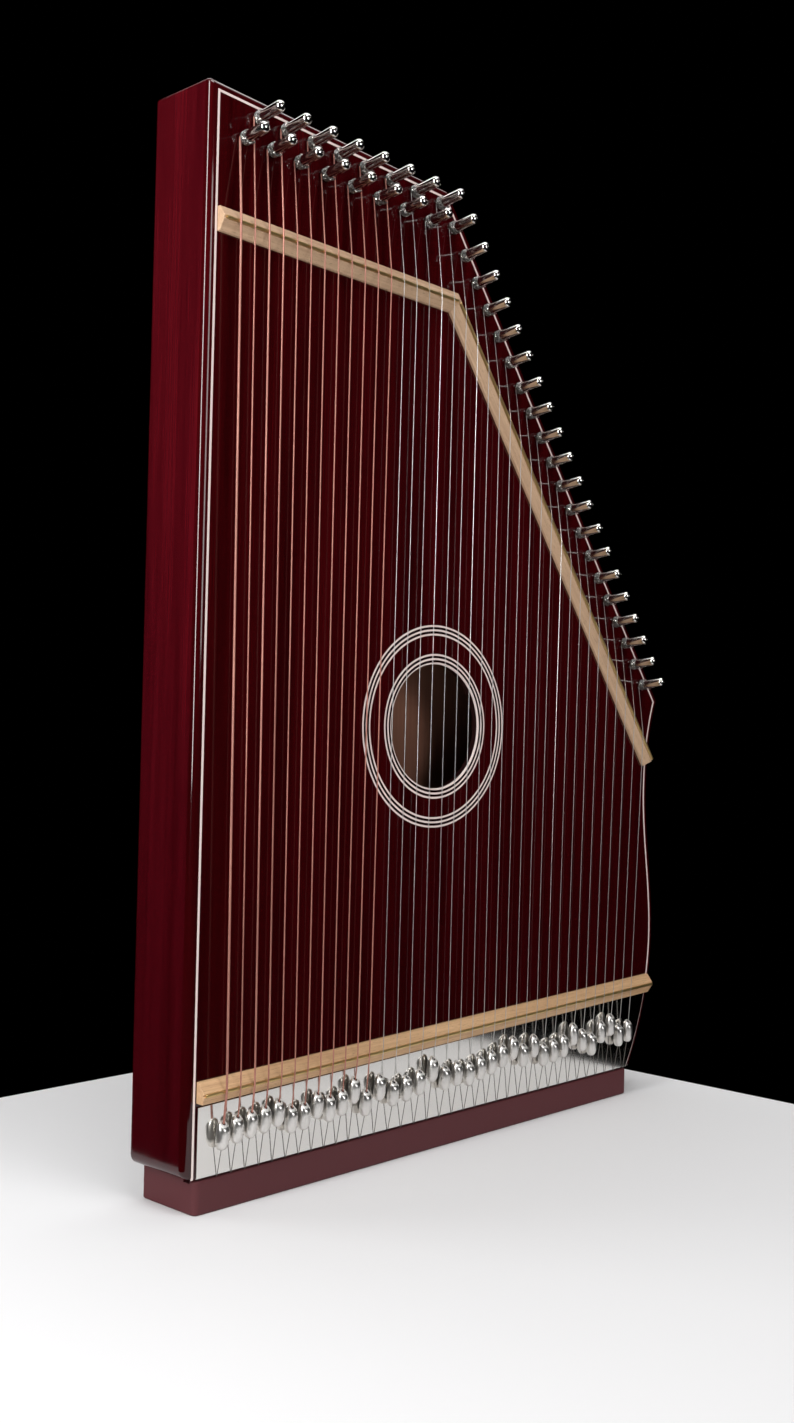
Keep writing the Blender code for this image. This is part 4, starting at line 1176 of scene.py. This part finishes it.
class SWARMANDAL_OT_strings(bpy.types.Operator):
    """String the instrument"""

    bl_idname = "swarmandal.strings"
    bl_label = "Strings"

    def execute(self, context):
        wound, total = context.scene.swarmandal_string.wound_count, len(JOINTS)
        self.string_set("wound_strings", "bronze_strings", range(1, wound + 1), context.scene, "wound_bronze")
        self.string_set("plain_strings", "steel_strings", range(wound + 1, total + 1), context.scene,
                        "steel_wire")
        return {'FINISHED'}

    def string_set(self, name, node, numbers, scene, slot):
        """One set of strings, bare steel below their beads, and the rod that they are looped on."""
        sizes, plan = scene.swarmandal_string, Plan(scene)
        mesh = bmesh.new()
        hitches = []
        for number in numbers:
            run = StringRun(scene, plan, number)
            add_wire(mesh, run.stops(sizes.bead_length), 10)
            hitches.append(run.hitch)
        ends = [(hitches[0] - ACROSS * 0.003, 0.0008), (hitches[-1] + ACROSS * 0.003, 0.0008)]
        self.hitch_rod(mesh, ends)
        bmesh.ops.recalc_face_normals(mesh, faces=mesh.faces)
        # Painted shade: faces below the lowest bead take the dark wire.
        for face in mesh.faces:
            face.material_index = 1 if face.calc_center_median().z < min(BEAD_LIFTS) else 0
        looks = [finish_named(string_finish(sizes, numbers[0])), finish_named("painted_shade_wire")]
        mount(add_piece(name, stored(name, mesh, looks)), HELD, [node])

    def hitch_rod(self, mesh, ends):
        """The hidden rod in the rail's pocket."""
        (start, radius), (end, _) = ends
        middle = Matrix.Translation((start + end) / 2) @ Matrix.Rotation(math.pi / 2, 4, 'Y')
        bmesh.ops.create_cone(mesh, cap_ends=True, segments=12, radius1=radius, radius2=radius,
                              depth=(end - start).length, matrix=middle)


class SWARMANDAL_OT_beads(bpy.types.Operator):
    """Thread a tuning bead on every string"""

    bl_idname = "swarmandal.beads"
    bl_label = "Tuning beads"

    def execute(self, context):
        plan, sizes = Plan(context.scene), context.scene.swarmandal_string
        shape = spun(self.profile(sizes), 32, 'Z', closed=True)
        # Painted shade: faces inside a bead's bore take the dark filler instead of nickel.
        for face in shape.faces:
            centre = face.calc_center_median()
            inwards = face.normal.dot(Vector((centre.x, centre.y, 0))) < 0
            inside = inwards and centre.z < sizes.bead_length * 0.9
            face.material_index = 1 if inside else 2 if centre.z < 0.0005 else 0
        for vert in shape.verts:
            height = max(1 - vert.co.z / (sizes.bead_length * 0.5), 0)
            vert.co.z -= vert.co.y * sizes.bead_slant * min(height, 1) ** 2
        bead = stored("bead", shape, [])
        mesh = bmesh.new()
        for number in pin_numbers():
            run = StringRun(context.scene, plan, number)
            turn = run.down.to_track_quat('Z', 'Y').to_matrix().to_4x4()
            add_copy(mesh, bead, Matrix.Translation(run.bead_top) @ turn)
        looks = [finish_named("bead_nickel"), finish_named("black_inlay"), finish_named("bead_lip")]
        piece = add_piece("tuning_beads", stored("tuning_beads", mesh, looks))
        mount(piece, HELD, [])
        return {'FINISHED'}

    def profile(self, sizes):
        """A teardrop with a chamfered hole, from its narrow upper end down."""
        reach, wide, neck, bore = sizes.bead_length, sizes.bead_radius, sizes.bead_neck, sizes.bead_bore
        rim = neck - 0.0003
        shoulder = interpolate_bezier(Vector((neck, 0.0004)), Vector((neck * 1.5, reach * 0.05)),
                                      Vector((wide, reach * 0.26)), Vector((wide, reach * 0.62)), 9)
        belly = interpolate_bezier(Vector((wide, reach * 0.62)), Vector((wide, reach * 0.86)),
                                   Vector((wide * 0.62, reach)), Vector((bore * 1.6, reach)), 9)
        outside = [tuple(point.to_2d()) for point in shoulder + belly[1:]]
        return [(bore, 0.0012), (bore + 0.0001, 0.0), (rim, 0.0)] + outside + [(bore, reach - 0.0004)]


class SWARMANDAL_OT_pins(bpy.types.Operator):
    """Drive the tuning pins and wind their strings on"""

    bl_idname = "swarmandal.pins"
    bl_label = "Tuning pins"

    def execute(self, context):
        sizes = context.scene.swarmandal_string
        for number in pin_numbers():
            mesh = spun(self.profile(sizes, pin_reach(sizes, number)), 28, 'Z', closed=True)
            wire = self.coil(sizes, coil_wire(sizes, number), number > sizes.wound_count)
            for face in wire.faces:
                face.material_index = 1
            add_copy(mesh, stored("coil", wire, []), Matrix.Identity(4))
            bmesh.ops.transform(mesh, verts=mesh.verts, matrix=pin_matrix(number))
            looks = [finish_named("nickel_plate"), finish_named("steel_coil")]
            name = f"pin_with_coil_{number:02d}"
            piece = add_piece(name, stored(name, mesh, looks))
            mount(piece, f"pin_{number:02d}", [f"tuning_pin_{number:02d}"])
        return {'FINISHED'}

    def profile(self, sizes, reach):
        """A pin from its driven end to its domed head with its small centre mark."""
        radius, dome = sizes.pin_radius, sizes.pin_dome
        profile = [(0.0, -sizes.pin_driven), (radius - 0.0006, -sizes.pin_driven),
                   (radius, -sizes.pin_driven + 0.0006)]
        for step in range(8):
            angle = math.pi / 2 * step / 8
            profile.append((radius - dome + dome * math.cos(angle), reach - dome + dome * math.sin(angle)))
        mark = radius - dome
        return profile + [(mark * 0.8, reach), (mark * 0.5, reach - 0.0002), (0.0, reach - 0.0003)]

    def coil(self, sizes, wire, doubled):
        """The string's turns on its pin, upwards from where it leaves, with its end bent outwards."""
        mesh = bmesh.new()
        turns = round(sizes.coil_reach / (2.1 * wire))
        self.layer(mesh, sizes.pin_radius + wire, wire, sizes.coil_leave, 2.1 * wire, turns)
        if doubled:
            self.layer(mesh, sizes.pin_radius + 2.8 * wire, wire, sizes.coil_leave + wire, 3.2 * wire,
                       round(turns * 0.55))
        out = sizes.coil_leave + 2.1 * wire * (turns - 1)
        low = -sizes.pin_radius - 1.2 * wire
        bend = [Vector((-0.0008, low, out)), Vector((0.0006, low - wire, out + wire)),
                Vector((0.0010, low - 2 * wire, out + 4 * wire)), Vector((0.0011, low - 2 * wire, out + sizes.tail))]
        add_wire(mesh, [(point, wire) for point in bend], 8)
        bmesh.ops.recalc_face_normals(mesh, faces=mesh.faces)
        return mesh

    def layer(self, mesh, away, wire, start, pitch, turns):
        """One layer of turns round the pin."""
        steps = 20
        place = Matrix.Translation((-away, 0, start)) @ Matrix.Rotation(math.pi / 2, 4, 'X')
        made = bmesh.ops.create_circle(mesh, cap_ends=True, radius=wire, segments=8, matrix=place)
        face = made["verts"][0].link_faces[0]
        bmesh.ops.spin(mesh, geom=list(face.verts) + list(face.edges) + [face], axis=UP,
                       angle=math.tau * turns, steps=steps * turns, dvec=UP * (pitch / steps))


class SWARMANDAL_OT_stage(bpy.types.Operator):
    """Set the floor, the lamps and the camera"""

    bl_idname = "swarmandal.stage"
    bl_label = "Stage"

    def execute(self, context):
        scene, settings = context.scene, context.scene.swarmandal_stage
        scene.view_settings.view_transform = 'Standard'
        self.floor(settings)
        self.room(scene)
        self.camera(scene, settings)
        self.lamp("high_front_softbox", (-0.35, -0.9, 2.3), (0, 0, 0.3), 1.1, 0.8, 21)
        self.lamp("front_softbox", (0.0, -2.25, 0.95), (0, 0, 0.5), 0.8, 1.0, 15)
        self.lamp("left_strip", (-1.05, -0.15, 0.72), (-0.2, 0, 0.6), 0.16, 1.0, 10)
        self.lamp("top_softbox", (0.35, 0.45, 2.3), (0, 0, 0.2), 2.2, 1.5, 23)
        self.lamp("back_softbox", (-1.6, 1.9, 1.7), (0, 0, 0.4), 1.2, 1.0, 14).visible_glossy = False
        return {'FINISHED'}

    def floor(self, settings):
        """A pale floor; only its part round the foot shows in metal and lacquer."""
        finish = Finish("pale_floor")
        clouds = finish.noise((3, 3, 3), detail=3.0)
        dimmer = [part * 0.985 for part in settings.floor]
        look = finish.finished(Base_Color=finish.mix(clouds, tuple(settings.floor), dimmer), Roughness=0.6)
        left, right, back, far = -0.285, 0.286, 0.305, -1.6
        near_left, near_right = (left, -0.238), (right, -0.285)
        self.slab("floor_near", (near_left, near_right, (right, back), (left, back)), look)
        for name, spots in (("floor_left", ((far, far), (left, far), (left, back), (far, back))),
                            ("floor_front", ((left, far), (right, far), near_right, near_left))):
            self.slab(name, spots, look).visible_glossy = False

    def slab(self, name, spots, look):
        """A part of the floor at height 0, given by its corners."""
        mesh = bmesh.new()
        mesh.faces.new([mesh.verts.new((x, y, 0)) for x, y in spots])
        piece = add_piece(name, stored(name, mesh, [look]))
        return piece

    def room(self, scene):
        """A dark backdrop for the camera and for reflections, and a dim warm room as light."""
        world = bpy.data.worlds.new("room")
        world.use_nodes = True
        scene.world = world
        nodes, links = world.node_tree.nodes, world.node_tree.links
        path = nodes.new('ShaderNodeLightPath')
        background = nodes["Background"]
        background.inputs["Color"].default_value = (0.50, 0.45, 0.40, 1.0)
        shown = path.outputs["Is Camera Ray"]
        for kind in ("Is Glossy Ray", "Is Transmission Ray"):
            either = nodes.new('ShaderNodeMath')
            either.operation = 'MAXIMUM'
            links.new(shown, either.inputs[0])
            links.new(path.outputs[kind], either.inputs[1])
            shown = either.outputs[0]
        dim = nodes.new('ShaderNodeMath')
        dim.operation = 'MULTIPLY_ADD'
        links.new(shown, dim.inputs[0])
        dim.inputs[1].default_value = -0.14
        dim.inputs[2].default_value = 0.14
        links.new(dim.outputs[0], background.inputs["Strength"])

    def lamp(self, name, place, aim, width, height, watts):
        """A rectangular softbox that faces a point."""
        light = bpy.data.lights.new(name, 'AREA')
        light.shape = 'RECTANGLE'
        light.size, light.size_y, light.energy = width, height, watts
        lamp = bpy.data.objects.new(name, light)
        lamp.location = place
        lamp.rotation_euler = (Vector(aim) - Vector(place)).to_track_quat('-Z', 'Y').to_euler()
        bpy.context.scene.collection.objects.link(lamp)
        return lamp

    def camera(self, scene, settings):
        """The camera where the photograph was taken from."""
        level = Vector((math.cos(settings.heading), -math.sin(settings.heading), 0))
        ahead = Vector((math.sin(settings.heading) * math.cos(settings.pitch),
                        math.cos(settings.heading) * math.cos(settings.pitch), math.sin(settings.pitch)))
        above = level.cross(ahead)
        right = level * math.cos(settings.roll) + above * math.sin(settings.roll)
        upward = above * math.cos(settings.roll) - level * math.sin(settings.roll)
        data = bpy.data.cameras.new("camera")
        data.lens, data.shift_x, data.sensor_width = settings.lens, settings.shift, 36.0
        camera = bpy.data.objects.new("camera", data)
        turn = Matrix((right, upward, -ahead)).transposed().to_4x4()
        camera.matrix_world = Matrix.Translation(settings.eye) @ turn
        scene.collection.objects.link(camera)
        scene.camera = camera


class SWARMANDAL_PT_panel(bpy.types.Panel):
    """Sizes, colours and building steps of the swarmandal"""

    bl_idname = "SWARMANDAL_PT_panel"
    bl_label = "Swarmandal"
    bl_space_type = 'VIEW_3D'
    bl_region_type = 'UI'
    bl_category = "Swarmandal"

    def draw(self, context):
        for operator in STEPS:
            self.layout.operator(operator.bl_idname)
        for name, group in SETTINGS.items():
            column = self.layout.column(heading=group.__doc__)
            for key in group.__annotations__:
                column.prop(getattr(context.scene, name), key)


STEPS = (SWARMANDAL_OT_finishes, SWARMANDAL_OT_box, SWARMANDAL_OT_inner_woodwork, SWARMANDAL_OT_inlays,
         SWARMANDAL_OT_foot_rail, SWARMANDAL_OT_tail_plate, SWARMANDAL_OT_bridges, SWARMANDAL_OT_strings,
         SWARMANDAL_OT_beads, SWARMANDAL_OT_pins, SWARMANDAL_OT_stage)


def register():
    """Register the settings, the steps and the panel."""
    for group in SETTINGS.values():
        bpy.utils.register_class(group)
    for name, group in SETTINGS.items():
        setattr(bpy.types.Scene, name, PointerProperty(type=group))
    for operator in STEPS:
        bpy.utils.register_class(operator)
    bpy.utils.register_class(SWARMANDAL_PT_panel)


def unregister():
    """Take back what register added."""
    bpy.utils.unregister_class(SWARMANDAL_PT_panel)
    for operator in reversed(STEPS):
        bpy.utils.unregister_class(operator)
    for name, group in SETTINGS.items():
        delattr(bpy.types.Scene, name)
        bpy.utils.unregister_class(group)


def main():
    """Run every step and note the object's box before and after."""
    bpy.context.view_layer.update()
    register()
    for operator in STEPS:
        group, step = operator.bl_idname.split(".")
        getattr(getattr(bpy.ops, group), step)()


if __name__ == "__main__":
    main()
